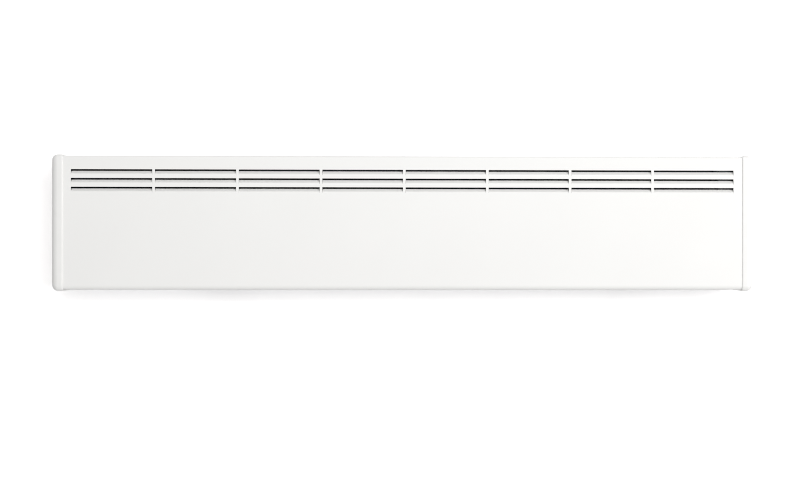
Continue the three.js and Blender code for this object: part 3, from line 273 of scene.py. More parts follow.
class Paint:
    """A node material round one Principled shader, patterned in the frame's own metres."""

    def __init__(self, name, metallic=0.0, **sockets):
        self.material = bpy.data.materials.new(name)
        self.material.use_nodes = True
        self.tree = self.material.node_tree
        self.shader = self.tree.nodes["Principled BSDF"]
        self.shader.inputs["Metallic"].default_value = metallic
        for key, value in sockets.items():
            self.shader.inputs[key.replace("_", " ")].default_value = value
        self.place = self.tree.nodes.new("ShaderNodeTexCoord").outputs["Object"]

    def node(self, kind, **settings):
        node = self.tree.nodes.new(kind)
        for key, value in settings.items():
            setattr(node, key, value)
        return node

    def link(self, source, target):
        self.tree.links.new(source, target)

    def scaled(self, scale):
        mapping = self.node("ShaderNodeMapping")
        mapping.inputs["Scale"].default_value = scale if hasattr(scale, "__len__") else (scale,) * 3
        self.link(self.place, mapping.inputs["Vector"])
        return mapping.outputs["Vector"]

    def noise(self, scale, detail=2.0, roughness=0.5):
        node = self.node("ShaderNodeTexNoise")
        node.inputs["Scale"].default_value = 1.0
        node.inputs["Detail"].default_value = detail
        node.inputs["Roughness"].default_value = roughness
        self.link(self.scaled(scale), node.inputs["Vector"])
        return node.outputs[0]

    def cells(self, scale):
        node = self.node("ShaderNodeTexVoronoi")
        node.inputs["Scale"].default_value = 1.0
        self.link(self.scaled(scale), node.inputs["Vector"])
        grey = self.node("ShaderNodeRGBToBW")
        self.link(node.outputs["Color"], grey.inputs[0])
        return grey.outputs[0]

    def spread(self, value, low, high, start=0.3, end=0.7):
        node = self.node("ShaderNodeMapRange")
        for key, number in (("From Min", start), ("From Max", end), ("To Min", low), ("To Max", high)):
            node.inputs[key].default_value = number
        self.link(value, node.inputs["Value"])
        return node.outputs[0]

    def colours(self, value, low, high):
        node = self.node("ShaderNodeMix", data_type="RGBA")
        node.inputs[6].default_value = (*low, 1)
        node.inputs[7].default_value = (*high, 1)
        self.link(value, node.inputs[0])
        return node.outputs[2]

    def base(self, colour):
        self.link(colour, self.shader.inputs["Base Color"])
        return self

    def rough(self, value):
        self.link(value, self.shader.inputs["Roughness"])
        return self

    def bumps(self, *layers):
        """Surface relief from (height, depth in millimetres) layers."""
        normal = None
        for height, depth in layers:
            bump = self.node("ShaderNodeBump")
            bump.inputs["Strength"].default_value = 1.0
            bump.inputs["Distance"].default_value = depth * MM
            self.link(height, bump.inputs["Height"])
            if normal:
                self.link(normal, bump.inputs["Normal"])
            normal = bump.outputs[0]
        self.link(normal, self.shader.inputs["Normal"])
        return self


def grown(colour, share):
    return tuple(min(1.0, c * share) for c in colour)


def powder_coat(name, colour):
    """Stoved powder paint: even, satin, with a fine orange-peel skin."""
    p = Paint(name, Coat_Weight=0.06, Coat_Roughness=0.25)
    p.base(p.colours(p.spread(p.noise(9, 3), 0, 1), grown(colour, 0.992), grown(colour, 1.008)))
    p.rough(p.spread(p.noise(420, 2), 0.38, 0.46))
    p.bumps((p.noise(560, 2), 0.012), (p.noise(2600, 1), 0.003))
    return p.material


def moulded(name, colour, roughness=0.36, grain=0.006, **sockets):
    """Injection-moulded plastic with a finely eroded skin."""
    p = Paint(name, **sockets)
    p.base(p.colours(p.spread(p.noise(60, 3), 0, 1), grown(colour, 0.985), grown(colour, 1.015)))
    p.rough(p.spread(p.noise(1500, 2), roughness - 0.05, roughness + 0.06))
    p.bumps((p.noise(2400, 3, 0.6), grain))
    return p.material


def zinc_sheet(name, colour):
    """Hot-dipped sheet steel: soft spangle, fine rolling lines."""
    p = Paint(name, metallic=1.0)
    spangle = p.cells(150)
    p.base(p.colours(p.spread(spangle, 0, 1, 0.2, 0.8), grown(colour, 0.9), grown(colour, 1.08)))
    p.rough(p.spread(p.cells(150), 0.36, 0.52, 0.2, 0.8))
    p.bumps((p.noise((25, 25, 900), 2), 0.004), (spangle, 0.004))
    return p.material


def shade_black_sheet(name, colour):
    """Matt black sheet steel, painted shade: its darkness stands for the shade inside the heater seen through
    the louvres.
    """
    p = Paint(name)
    p.base(p.colours(p.spread(p.noise(30, 4, 0.6), 0, 1), grown(colour, 0.8), grown(colour, 1.25)))
    p.rough(p.spread(p.noise(900, 2), 0.62, 0.78))
    p.bumps((p.noise(700, 2), 0.012))
    return p.material


def turned_steel(name, colour):
    """Bright plated steel with fine tool marks."""
    p = Paint(name, metallic=1.0)
    streak = p.noise(1800, 2)
    p.base(p.colours(p.spread(p.noise(70, 2), 0, 1), grown(colour, 0.9), grown(colour, 1.06)))
    p.rough(p.spread(streak, 0.21, 0.38))
    p.bumps((streak, 0.004))
    return p.material


def hot_sheath(name, colour):
    """Element sheath: drawn steel with straw and grey heat colours along it."""
    p = Paint(name, metallic=1.0)
    p.base(p.colours(p.spread(p.noise((18, 60, 60), 3), 0, 1), grown(colour, 0.72), (0.52, 0.45, 0.36)))
    streak = p.noise((30, 1500, 1500), 2)
    p.rough(p.spread(streak, 0.3, 0.48))
    p.bumps((streak, 0.004))
    return p.material


def extruded(name, colour):
    """Aluminium with die lines along the heater."""
    p = Paint(name, metallic=1.0)
    lines = p.noise((6, 1400, 1400), 3)
    p.base(p.colours(p.spread(lines, 0, 1), grown(colour, 0.88), grown(colour, 1.05)))
    p.rough(p.spread(lines, 0.28, 0.46))
    p.bumps((lines, 0.008))
    return p.material


def fired_clay(name, colour):
    """Unglazed ceramic with small pores."""
    p = Paint(name)
    pores = p.noise(1900, 4, 0.7)
    p.base(p.colours(p.spread(pores, 0, 1, 0.3, 0.5), grown(colour, 0.82), colour))
    p.rough(p.spread(p.noise(600, 2), 0.55, 0.72))
    p.bumps((pores, 0.03))
    return p.material


def tarnished(name, colour):
    """Brass with duller patches."""
    p = Paint(name, metallic=1.0)
    patch = p.noise(160, 4, 0.6)
    p.base(p.colours(p.spread(patch, 0, 1), grown(colour, 0.7), grown(colour, 1.05)))
    p.rough(p.spread(patch, 0.42, 0.26))
    p.bumps((p.noise(2200, 2), 0.004))
    return p.material


def sleeve(name, colour):
    """Flexible wire insulation."""
    p = Paint(name)
    p.base(p.colours(p.spread(p.noise(220, 2), 0, 1), grown(colour, 0.86), grown(colour, 1.1)))
    p.rough(p.spread(p.noise(500, 2), 0.38, 0.55))
    p.bumps((p.noise(900, 2), 0.02))
    return p.material


WHITE = (0.872, 0.868, 0.852)
POWDER_WHITE = powder_coat("powder_white", WHITE)
PLASTIC_WHITE = moulded("plastic_white", WHITE, 0.34, 0.004)
ZINC = zinc_sheet("zinc_steel", (0.62, 0.63, 0.64))
# painted shade: a near-black sheet for the shade behind the louvres
SHADE_BLACK = shade_black_sheet("black_steel", (0.03, 0.03, 0.031))
BRIGHT = turned_steel("bright_steel", (0.68, 0.69, 0.7))
SHEATH = hot_sheath("rod_sheath", (0.66, 0.66, 0.66))
ALUMINIUM = extruded("aluminium", (0.76, 0.77, 0.78))
CERAMIC = fired_clay("ceramic", (0.84, 0.81, 0.74))
PLASTIC_GREY = moulded("plastic_grey", (0.34, 0.35, 0.36), 0.46, 0.012)
PLASTIC_DARK = moulded("plastic_dark", (0.035, 0.036, 0.038), 0.45, 0.012)
PRINT_GREY = moulded("print_grey", (0.12, 0.125, 0.13), 0.5, 0.002)
BRASS = tarnished("brass", (0.72, 0.55, 0.27))
AMBER = moulded("lamp_amber", (0.8, 0.2, 0.03), 0.14, 0.001, Transmission_Weight=0.35, IOR=1.49)
WIRE_BROWN = sleeve("wire_brown", (0.16, 0.07, 0.035))
WIRE_BLUE = sleeve("wire_blue", (0.03, 0.13, 0.36))
WIRE_GREEN = sleeve("wire_green", (0.28, 0.4, 0.05))

# ---------- Front casing ----------

CASING_END = 507.2
SHEET = 1.0
LIP_Y = -26.8  # middle of the rear lips' sheet
FRONT_Y = -83.5
TOP_Z = 97.5
LIP_END_Z = 88.0
REAR_BEND, BOTTOM_BEND, TOP_BEND = 0.8, 6.0, 2.5  # radii at the middle of the sheet
BEND_STEPS = 8

LOUVRE_LENGTH = 118.0875
LOUVRE_BRIDGE = 3.9
LOUVRE_LEFT = -486.7
LOUVRE_COLUMNS = 8
LOUVRE_TOPS = (77.9, 65.05, 52.2)
LOUVRE_HEIGHT = 6.9
FLAP_SLIT = 0.2  # shear gap at a flap's ends
FLAP_ANGLE = math.radians(43)
FLAP_BEND = 2.2
FLAP_STRAIGHT = 4.95
FLAP_STEPS = 6  # rows of the flap's bend

INLET_COLUMNS = 12
INLET_LEFT = -472.0
INLET_LENGTH = 65.83
INLET_BRIDGE = 14.0
INLET_WIDTH = 9.0
INLET_Y = (-65.15, -45.15)

CASING_EDGE = 0.13  # rounding of the cut edges
SCREW_HOLE = 2.05
CAP_SCREW_X = 503.5
LIP_SCREWS_X = (-CAP_SCREW_X, -420.2, 0.0, 420.2, CAP_SCREW_X)
LIP_SCREW_Z = 93.0


def casing_sheet():
    skin = Skin()
    corners = [
        (LIP_Y, -LIP_END_Z, 0),
        (LIP_Y, -TOP_Z, REAR_BEND),
        (FRONT_Y, -TOP_Z, BOTTOM_BEND),
        (FRONT_Y, TOP_Z, TOP_BEND),
        (LIP_Y, TOP_Z, REAR_BEND),
        (LIP_Y, LIP_END_Z, 0),
    ]
    sides = [strip_side(corners, shift, BEND_STEPS) for shift in (SHEET / 2, -SHEET / 2)]
    bend = BEND_STEPS + 1
    lower_lip, bottom, face = 0, bend, 2 * bend  # each straight stretch's first station
    hinge_drop = FLAP_BEND * math.tan(FLAP_ANGLE / 2)
    breaks = sorted(z for top in LOUVRE_TOPS for z in (top - LOUVRE_HEIGHT - hinge_drop, top))
    for side, y in zip(sides, (FRONT_Y - SHEET / 2, FRONT_Y + SHEET / 2)):
        side[face + 1 : face + 1] = [Vector((y, z)) for z in breaks]
    count = len(sides[0])
    upper_lip = count - 2
    hinges = [face + 1 + 2 * k for k in range(len(LOUVRE_TOPS))]

    xs = [-CASING_END]
    for k in range(LOUVRE_COLUMNS):
        left = LOUVRE_LEFT + k * (LOUVRE_LENGTH + LOUVRE_BRIDGE)
        right = left + LOUVRE_LENGTH
        xs += [left, left + FLAP_SLIT, right - FLAP_SLIT, right]
    xs.append(CASING_END)
    last = len(xs) - 1
    open_columns = {j for k in range(LOUVRE_COLUMNS) for j in range(4 * k + 1, 4 * k + 4)}
    flap_columns = {4 * k + 2 for k in range(LOUVRE_COLUMNS)}

    grid = [[skin.ring([(x, p.x, p.y) for x in xs]) for p in side] for side in sides]
    outer, inner = grid
    plates = {
        lower_lip: [circle(x, -LIP_SCREW_Z, SCREW_HOLE, 20) for x in LIP_SCREWS_X],
        upper_lip: [circle(x, LIP_SCREW_Z, SCREW_HOLE, 20) for x in LIP_SCREWS_X],
        bottom: [],
    }
    for y in INLET_Y:
        for k in range(INLET_COLUMNS):
            left = INLET_LEFT + k * (INLET_LENGTH + INLET_BRIDGE)
            half = INLET_WIDTH / 2
            plates[bottom].append(
                rectangle(left, left + INLET_LENGTH, y - half, y + half, half - 0.01, 8)
            )

    def is_open(i, j):
        return i in hinges and j in open_columns

    for i in range(count - 1):
        if i in plates:
            loops = []
            for side, verts in zip(sides, grid):
                a, b = side[i], side[i + 1]
                axis = 0 if i == bottom else 1  # the bottom runs along Y, the lips along Z
                rings = [
                    skin.ring(
                        [(q.x, *a.lerp(b, (q.y - a[axis]) / (b[axis] - a[axis]))) for q in hole]
                    )
                    for hole in plates[i]
                ]
                skin.fill(verts[i] + verts[i + 1][::-1], *rings)
                loops.append(rings)
            for one, other in zip(*loops):
                skin.join(one, other)
            continue
        for j in range(last):
            if is_open(i, j):
                walls = [(i + 1, j, i + 1, j + 1)]
                if j not in flap_columns:
                    walls.append((i, j, i, j + 1))
                if not is_open(i, j - 1):
                    walls.append((i, j, i + 1, j))
                if not is_open(i, j + 1):
                    walls.append((i, j + 1, i + 1, j + 1))
                for a, b, c, d in walls:
                    skin.quad(outer[a][b], outer[c][d], inner[c][d], inner[a][b])
            else:
                for verts in grid:
                    skin.quad(verts[i][j], verts[i][j + 1], verts[i + 1][j + 1], verts[i + 1][j])
    for i in range(count - 1):
        for j in (0, last):
            skin.quad(outer[i][j], outer[i + 1][j], inner[i + 1][j], inner[i][j])
    for i in (0, count - 1):
        skin.join(outer[i], inner[i], closed=False)

    for i in hinges:
        z = sides[0][i].y
        for j in flap_columns:
            rows = [[(outer[i][j], outer[i][j + 1]), (inner[i][j], inner[i][j + 1])]]
            for k in range(1, FLAP_STEPS + 2):
                turn = FLAP_ANGLE * min(k, FLAP_STEPS) / FLAP_STEPS
                run = FLAP_STRAIGHT if k > FLAP_STEPS else 0
                row = []
                for shift in (-SHEET / 2, SHEET / 2):
                    radius = FLAP_BEND - shift
                    y = FRONT_Y + FLAP_BEND - radius * math.cos(turn) + run * math.sin(turn)
                    up = z + radius * math.sin(turn) + run * math.cos(turn)
                    row.append(tuple(skin.ring([(xs[j], y, up), (xs[j + 1], y, up)])))
                rows.append(row)
            for (oa, ia), (ob, ib) in zip(rows, rows[1:]):
                skin.quad(oa[0], oa[1], ob[1], ob[0])
                skin.quad(ia[0], ia[1], ib[1], ib[0])
                skin.quad(oa[0], ob[0], ib[0], ia[0])
                skin.quad(oa[1], ob[1], ib[1], ia[1])
            (ot, it) = rows[-1]
            skin.quad(ot[0], ot[1], it[1], it[0])
    return skin.done()


piece(
    "casing_sheet", casing_sheet(), POWDER_WHITE, "powder_white", "heater", ["front_casing"], CASING_EDGE
)

# ---------- End caps ----------

CAP_TOP = 100.0
CAP_FRONT = -85.5
CAP_BACK = -23.0
CAP_SEAM = 498.5
CAP_OUTER = 515.0
CAP_WALL = 1.4
CAP_EDGE = (9.5, 8.5)  # rounding of the outer edge, across the cap and inwards
CAP_BACK_EDGE = 3.75
CAP_RIM = (2.6, 0.85)  # rounding next to the casing, across the cap and inwards
CAP_RADII = (8.5, 3.3, 3.3, 5.0)  # front bottom, back bottom, back top, front top
CONTROL_Y = -51.3105
RECESS = (CONTROL_Y - 21, CONTROL_Y + 21, -8.0, 80.0)
RECESS_RADIUS = 6.0
RECESS_RIM, RECESS_FOOT = 0.8, 1.0  # roundings at its mouth and its floor
RECESS_FLOOR = 506.5
RECESS_BACK = 504.5
TUB_WALL = 2.0
RIM_STEPS, EDGE_STEPS, RECESS_STEPS = 8, 14, 3
CAP_BEVEL = 0.12
DIAL_Z = 56.0
LAMP_Z = 30.0
SWITCH_Z = 8.0


def cap_section(x, inset, back_inset, shrink):
    top, front, back = CAP_TOP - inset, CAP_FRONT + inset, CAP_BACK - back_inset
    radii = [max(r - shrink, 0.5) for r in CAP_RADII]
    corners = [(front, -top), (back, -top), (back, top), (front, top)]
    return along_x(outline([(*c, r) for c, r in zip(corners, radii)], 8), x)


def cap_shape(recessed):
    skin = Skin()
    quarter = math.pi / 2
    rings = []
    for k in range(RIM_STEPS + 1):  # rounded rim next to the casing
        turn = quarter * k / RIM_STEPS
        inset = CAP_RIM[1] * (1 - math.sin(turn))
        rings.append(cap_section(CAP_SEAM + CAP_RIM[0] * (1 - math.cos(turn)), inset, inset, inset))
    for k in range(EDGE_STEPS + 1):  # outer edge
        turn = quarter * k / EDGE_STEPS
        x = CAP_OUTER - CAP_EDGE[0] * (1 - math.sin(turn))
        inset = CAP_EDGE[1] * (1 - math.cos(turn))
        reach = max(0.0, x - CAP_OUTER + CAP_BACK_EDGE)
        back_inset = CAP_BACK_EDGE - math.sqrt(max(0.0, CAP_BACK_EDGE**2 - reach**2))
        rings.append(cap_section(x, inset, back_inset, 0.35 * inset))
    outer = [skin.ring(r) for r in rings]
    rings = [cap_section(CAP_SEAM, CAP_WALL, CAP_WALL, CAP_WALL)]
    for k in range(RIM_STEPS + 1):
        turn = quarter * k / RIM_STEPS
        inset = CAP_WALL + (CAP_EDGE[1] - CAP_WALL) * (1 - math.cos(turn))
        x = CAP_OUTER - CAP_WALL - (CAP_EDGE[0] - CAP_WALL) * (1 - math.sin(turn))
        back_inset = CAP_WALL + (inset - CAP_WALL) * 0.35
        rings.append(cap_section(x, inset, back_inset, CAP_WALL))
    inner = [skin.ring(r) for r in rings]
    skin.tunnel(outer)
    skin.tunnel(inner)
    skin.join(outer[0], inner[0])
    if not recessed:
        skin.fill(outer[-1])
        skin.fill(inner[-1])
        return skin.done()

    def recess_ring(grow, x, radius):
        y0, y1, z0, z1 = RECESS
        return skin.ring(
            along_x(rectangle(y0 - grow, y1 + grow, z0 - grow, z1 + grow, radius, 8), x)
        )

    walls = []
    turns = [quarter * k / RECESS_STEPS for k in range(RECESS_STEPS + 1)]
    for turn in turns:
        grow = RECESS_RIM * (1 - math.sin(turn))
        x = CAP_OUTER - RECESS_RIM * (1 - math.cos(turn))
        walls.append(recess_ring(grow, x, RECESS_RADIUS + grow))
    for turn in turns:
        grow = -RECESS_FOOT * (1 - math.cos(turn))
        x = RECESS_FLOOR + RECESS_FOOT * (1 - math.sin(turn))
        walls.append(recess_ring(grow, x, RECESS_RADIUS + grow))
    skin.tunnel(walls)
    skin.fill(outer[-1], walls[0])
    openings = [
        circle(CONTROL_Y, DIAL_Z, 3.5, 32),
        circle(CONTROL_Y, LAMP_Z, 3.1, 32),
        rectangle(CONTROL_Y - 6.3, CONTROL_Y + 6.3, SWITCH_Z - 10.3, SWITCH_Z + 10.3),
    ]
    depth = (RECESS_FLOOR, RECESS_BACK)
    holes = [[skin.ring(along_x(hole, x)) for x in depth] for hole in openings]
    skin.fill(walls[-1], *[h[0] for h in holes])
    for hole in holes:
        skin.join(*hole)
    mouth = (RECESS_BACK, CAP_OUTER - CAP_WALL)
    tub = [recess_ring(TUB_WALL, x, RECESS_RADIUS + TUB_WALL) for x in mouth]
    skin.fill(tub[0], *[h[1] for h in holes])
    skin.join(*tub)
    skin.fill(inner[-1], tub[1])
    return skin.done()


def drill(z):
    """The rod that leaves a screw hole through a cap's back."""
    back, front = CAP_BACK - 4, CAP_BACK + 4
    bm = lathe([(back, 0), (back, SCREW_HOLE), (front, SCREW_HOLE), (front, 0)], 24, "Y")
    bm.transform(Matrix.Translation((CAP_SCREW_X, 0, z)))
    return bm


def end_cap(side):
    bm = cut(cap_shape(side > 0), merged(drill(LIP_SCREW_Z), drill(-LIP_SCREW_Z)))
    if side < 0:
        bmesh.ops.transform(bm, matrix=Matrix.Scale(-1, 4, (1, 0, 0)), verts=bm.verts)
        bmesh.ops.recalc_face_normals(bm, faces=bm.faces)
    return bm


for where, side in (("left", -1), ("right", 1)):
    nodes = [where + "_end_cap"]
    bm = end_cap(side)
    piece("cap_" + where, bm, PLASTIC_WHITE, "plastic_white", "heater", nodes, CAP_BEVEL)

# ---------- Screws ----------

SCREW_HEAD = 1.9
SCREW_HEAD_RADIUS = 3.3
SCREW_LENGTH = 7.0
SCREW_CORE = 1.28
THREAD_DEPTH = 0.42
THREAD_PITCH = 1.1
THREAD_STEPS = 8  # rings per turn of the thread
THREAD_RUN = 6.0
SCREW_POINT = 0.7
SCREW_SIDES = 20
SCREW_BEVEL = 0.05


def cross_tool():
    """The tapered cross that leaves the driver's recess in a screw's head."""
    arm, half = 1.85, 0.42
    corners = [(arm, -half), (arm, half), (half, half), (half, arm), (-half, arm), (-half, half)]
    corners += [(-a, -b) for a, b in corners]
    skin = Skin()
    ends = ((0.5, 0.5), (SCREW_HEAD + 0.4, 1.05))
    rings = [skin.ring([(share * a, y, share * b) for a, b in corners]) for y, share in ends]
    skin.tunnel(rings)
    for ring in rings:
        skin.fill(ring)
    return skin.done()


def screw_shape():
    """Pan-head screw along Y with its head's base at 0: a rolled thread and a cross recess."""
    sides = SCREW_SIDES
    skin = Skin()
    rings = [skin.ring([(p.x, -SCREW_LENGTH, p.y) for p in circle(0, 0, SCREW_POINT, sides)])]
    count = round(THREAD_RUN / THREAD_PITCH * THREAD_STEPS)
    for k in range(count + 1):
        y = -SCREW_LENGTH + 0.5 + k * THREAD_PITCH / THREAD_STEPS
        grow = min(1.0, k / THREAD_STEPS, (count - k) / THREAD_STEPS)
        ring = []
        for i in range(sides):
            phase = (k / THREAD_STEPS + i / sides) % 1
            radius = SCREW_CORE + THREAD_DEPTH * grow * (1 - abs(2 * phase - 1))
            turn = 2 * math.pi * i / sides
            ring.append((radius * math.cos(turn), y, radius * math.sin(turn)))
        rings.append(skin.ring(ring))
    head = [
        (0, SCREW_CORE),
        (0, SCREW_HEAD_RADIUS, 0.15),
        (0.85, SCREW_HEAD_RADIUS, 0.3),
        (1.75, 2.3, 1.2),
        (SCREW_HEAD, 0.9),
    ]
    for y, radius in smooth_profile(head):
        rings.append(skin.ring([(p.x, y, p.y) for p in circle(0, 0, radius, sides)]))
    skin.tunnel(rings)
    skin.fill(rings[0])
    skin.fill(rings[-1])
    return cut(skin.done(), cross_tool())


def screws():
    """Every screw in its CAD node's place, each with its recess at an angle of its own."""
    shape = screw_shape()
    for name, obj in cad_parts.items():
        if "_screw" not in name:
            continue
        corners = [obj.matrix_world @ Vector(c) / MM for c in obj.bound_box]
        low, high = (Vector(f(c[i] for c in corners) for i in range(3)) for f in (min, max))
        inward = name == "earth_screw"
        middle = (low + high) / 2
        seat = low.y + SCREW_HEAD if inward else high.y - SCREW_HEAD
        about = Matrix.Rotation(math.pi if inward else 0, 4, "Z")
        turn = about @ Matrix.Rotation(0.7 * middle.x + middle.z, 4, "Y")
        bm = shape.copy()
        bm.transform(Matrix.Translation((middle.x, seat, middle.z)) @ turn)
        metal, slot = (BRASS, "brass") if inward else (BRIGHT, "bright_steel")
        piece(name + "_looks", bm, metal, slot, "heater", [name], SCREW_BEVEL)
    shape.free()


screws()

# ---------- Knob, scale, lens and rocker marks ----------

KNOB_BACK = 507.0
KNOB_RADIUS = 17.0
KNOB_BORE, KNOB_BOSS = 3.3, 5.4  # radii
KNOB_BEVEL = 0.05
KNOB_FLUTES = 18
KNOB_FLUTE_DEPTH = 0.56
KNOB_SHARE = 12  # points per flute
POINTER = (7.65, 15.0, 0.7)  # from, to, half width
GROOVE_FLOOR = 513.7
PRINT = (-0.05, 0.06)  # a print's back and front from its surface


def knob_shape():
    """Hollow knob with a skirt, soft flutes, a rounded rim and a slightly dished top."""
    skin = Skin()
    sides = KNOB_FLUTES * KNOB_SHARE

    def ring(x, radius, flute=0.0):
        points = []
        for i in range(sides):
            turn = 2 * math.pi * i / sides
            r = radius - flute * KNOB_FLUTE_DEPTH * (0.5 - 0.5 * math.cos(KNOB_FLUTES * turn))
            points.append((x, r * math.cos(turn), r * math.sin(turn)))
        return skin.ring(points)

    inside = [
        (512.5, KNOB_BORE),
        (KNOB_BACK + 0.2, KNOB_BORE),
        (KNOB_BACK + 0.2, KNOB_BOSS),
        (512.7, KNOB_BOSS),
        (512.7, 15.1),
        (KNOB_BACK, 15.5),
    ]
    skirt = [
        (KNOB_BACK, KNOB_RADIUS - 0.3),
        (KNOB_BACK + 0.1, KNOB_RADIUS - 0.08),
        (KNOB_BACK + 0.3, KNOB_RADIUS),
        (508.6, KNOB_RADIUS),
        (508.8, KNOB_RADIUS - 0.08),
        (508.9, KNOB_RADIUS - 0.3),
    ]
    grip = [
        (508.98, 16.62, 0.4),
        (509.15, 16.5, 0.85),
        (509.5, 16.45, 1.0),
        (511.3, 16.38, 1.0),
        (513.0, 16.3, 1.0),
    ]
    rings = [ring(*place) for place in inside + skirt + grip]
    for k in range(1, 8):
        turn = math.pi / 2 * k / 7
        rings.append(ring(513.0 + 1.5 * math.sin(turn), 14.8 + 1.5 * math.cos(turn), math.cos(turn)))
    for x, r in ((514.47, 13.4), (514.38, 10.5), (514.3, 6.5), (514.26, 2.5)):
        rings.append(ring(x, r))
    skin.tunnel(rings)
    skin.fill(rings[0])
    skin.fill(rings[-1])
    groove = Skin()
    bar = rectangle(-POINTER[2], POINTER[2], *POINTER[:2], 0.55)
    ends = [groove.ring(along_x(bar, x)) for x in (GROOVE_FLOOR, 515.5)]
    groove.join(*ends)
    for end in ends:
        groove.fill(end)
    return cut(skin.done(), groove.done())


def printed(shapes):
    """Thin closed plates facing +X, from shapes that are each an outer loop and any inner loops."""
    skin = Skin()
    for shape in shapes:
        levels = [[skin.ring(along_x(loop, x)) for loop in shape] for x in PRINT]
        for rings in levels:
            skin.fill(*rings)
        for low, high in zip(*levels):
            skin.join(low, high)
    return skin.done()


def digit(text, height, y, z):
    """A plain figure facing +X."""
    curve = bpy.data.curves.new("digit", "FONT")
    curve.body = text
    curve.size = height * 1.4
    curve.align_x = curve.align_y = "CENTER"
    curve.extrude = (PRINT[1] - PRINT[0]) / 2
    curve.resolution_u = 6
    obj = bpy.data.objects.new("digit", curve)
    scene.collection.objects.link(obj)
    evaluated = obj.evaluated_get(bpy.context.evaluated_depsgraph_get())
    bm = bmesh.new()
    bm.from_mesh(evaluated.to_mesh())
    evaluated.to_mesh_clear()
    bpy.data.objects.remove(obj)
    bpy.data.curves.remove(curve)
    bmesh.ops.remove_doubles(bm, verts=bm.verts, dist=1e-4)
    upright = Matrix(((0, 0, 1, 0), (1, 0, 0, 0), (0, 1, 0, 0), (0, 0, 0, 1)))  # X to Y, Y to Z
    bm.transform(Matrix.Translation(((PRINT[0] + PRINT[1]) / 2, y, z)) @ upright)
    return bm


def dial_scale():
    """Ticks round the knob from one stop to the other, with plain figures from 1 to 5."""
    reach, steps, every = 140, 20, 5
    ticks, figures = [], []
    for k in range(steps + 1):
        turn = math.radians(-reach + 2 * reach * k / steps)
        across = Vector((math.cos(turn), -math.sin(turn)))
        out = Vector((math.sin(turn), math.cos(turn)))
        main = k % every == 0
        half, inner, outer = (0.22, 17.5, 18.6) if main else (0.12, 17.5, 18.2)
        corners = [(inner, -half), (inner, half), (outer, half), (outer, -half)]
        ticks.append([[Vector((0, DIAL_Z)) + out * r + across * a for r, a in corners]])
        if main:
            at = out * 19.75
            figures.append(digit(str(1 + k // every), 1.55, at.x, DIAL_Z + at.y))
    bm = merged(printed(ticks), *figures)
    bm.transform(Matrix.Translation((RECESS_FLOOR, CONTROL_Y, 0)))
    return bm


def rocker_marks():
    """A bar and a ring on the rocker's two flats."""
    ridge, slope, place = 3.604, math.atan2(1.096, 7.8), 4.7
    tilt = Matrix.Rotation(math.radians(8), 4, "Y")
    pivot = Matrix.Translation((504.9, CONTROL_Y, SWITCH_Z)) @ tilt
    marks = []
    for side, shape in (
        (1, [rectangle(-0.28, 0.28, -1.35, 1.35, 0.1, 3)]),
        (-1, [circle(0, 0, 1.4, 40), circle(0, 0, 0.95, 40)]),
    ):
        bm = printed([shape])
        lean = Matrix.Rotation(-side * slope, 4, "Y")
        out, up = Matrix.Translation((ridge, 0, 0)), Matrix.Translation((0, 0, side * place))
        bm.transform(pivot @ out @ lean @ up)
        marks.append(bm)
    return merged(*marks)


def at_control(bm, z):
    bm.transform(Matrix.Translation((0, CONTROL_Y, z)))
    return bm


LENS = [
    (498.9, 0),
    (498.9, 2.8, 0.3),
    (506.8, 2.8, 0),
    (506.8, 3.5, 0.12),
    (507.15, 3.5, 0.2),
    (507.45, 2.9, 0.5),
    (507.78, 1.6, 1.5),
    (507.9, 0),
]
POINTER_GAP = 0.04
pointer = rectangle(
    -POINTER[2] + POINTER_GAP,
    POINTER[2] - POINTER_GAP,
    POINTER[0] + POINTER_GAP,
    POINTER[1] - POINTER_GAP,
    0.5,
)
pointer = printed([[pointer]])
thicker = Matrix.Diagonal((4, 1, 1, 1))
pointer.transform(Matrix.Translation((GROOVE_FLOOR + 0.02, CONTROL_Y, DIAL_Z)) @ thicker)
knob = at_control(knob_shape(), DIAL_Z)
lens = at_control(lathe(smooth_profile(LENS), 40), LAMP_Z)
piece("knob", knob, PLASTIC_WHITE, "plastic_white", "dial", ["thermostat_knob"], KNOB_BEVEL)
piece("knob_pointer", pointer, PRINT_GREY, "plastic_dark", "dial")
piece("dial_scale", dial_scale(), PRINT_GREY, "plastic_dark", "heater")
piece("rocker_marks", rocker_marks(), PRINT_GREY, "plastic_dark", "rocker")
piece("lamp_lens", lens, AMBER, "lamp_amber", "heater", ["indicator_lens"])

# ---------- CAD nodes that keep their shape ----------


WELD_REACH = 0.004
WIRE_SWELL = 0.18  # brings the wires' rounded section back to its thickness


def dress(material, width, *names):
    """Gives CAD nodes their material and rounds their edges."""
    for name in names:
        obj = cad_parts[name]
        obj.material_slots[0].material = material
        weld = obj.modifiers.new("weld", "WELD")
        weld.merge_threshold = WELD_REACH * MM
        flat = obj.modifiers.new("flat_faces", "DECIMATE")
        flat.decimate_type = "DISSOLVE"
        flat.angle_limit = math.radians(0.6)
        soften(obj, width)


def dress_wire(material, *names):
    """Wires keep their CAD route and get a rounder section."""
    for name in names:
        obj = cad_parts[name]
        obj.material_slots[0].material = material
        weld = obj.modifiers.new("weld", "WELD")
        weld.merge_threshold = WELD_REACH * MM
        round_ = obj.modifiers.new("round", "SUBSURF")
        round_.levels = round_.render_levels = 2
        swell = obj.modifiers.new("swell", "DISPLACE")
        swell.strength = WIRE_SWELL * MM
        swell.mid_level = 0
        soften(obj, 0)


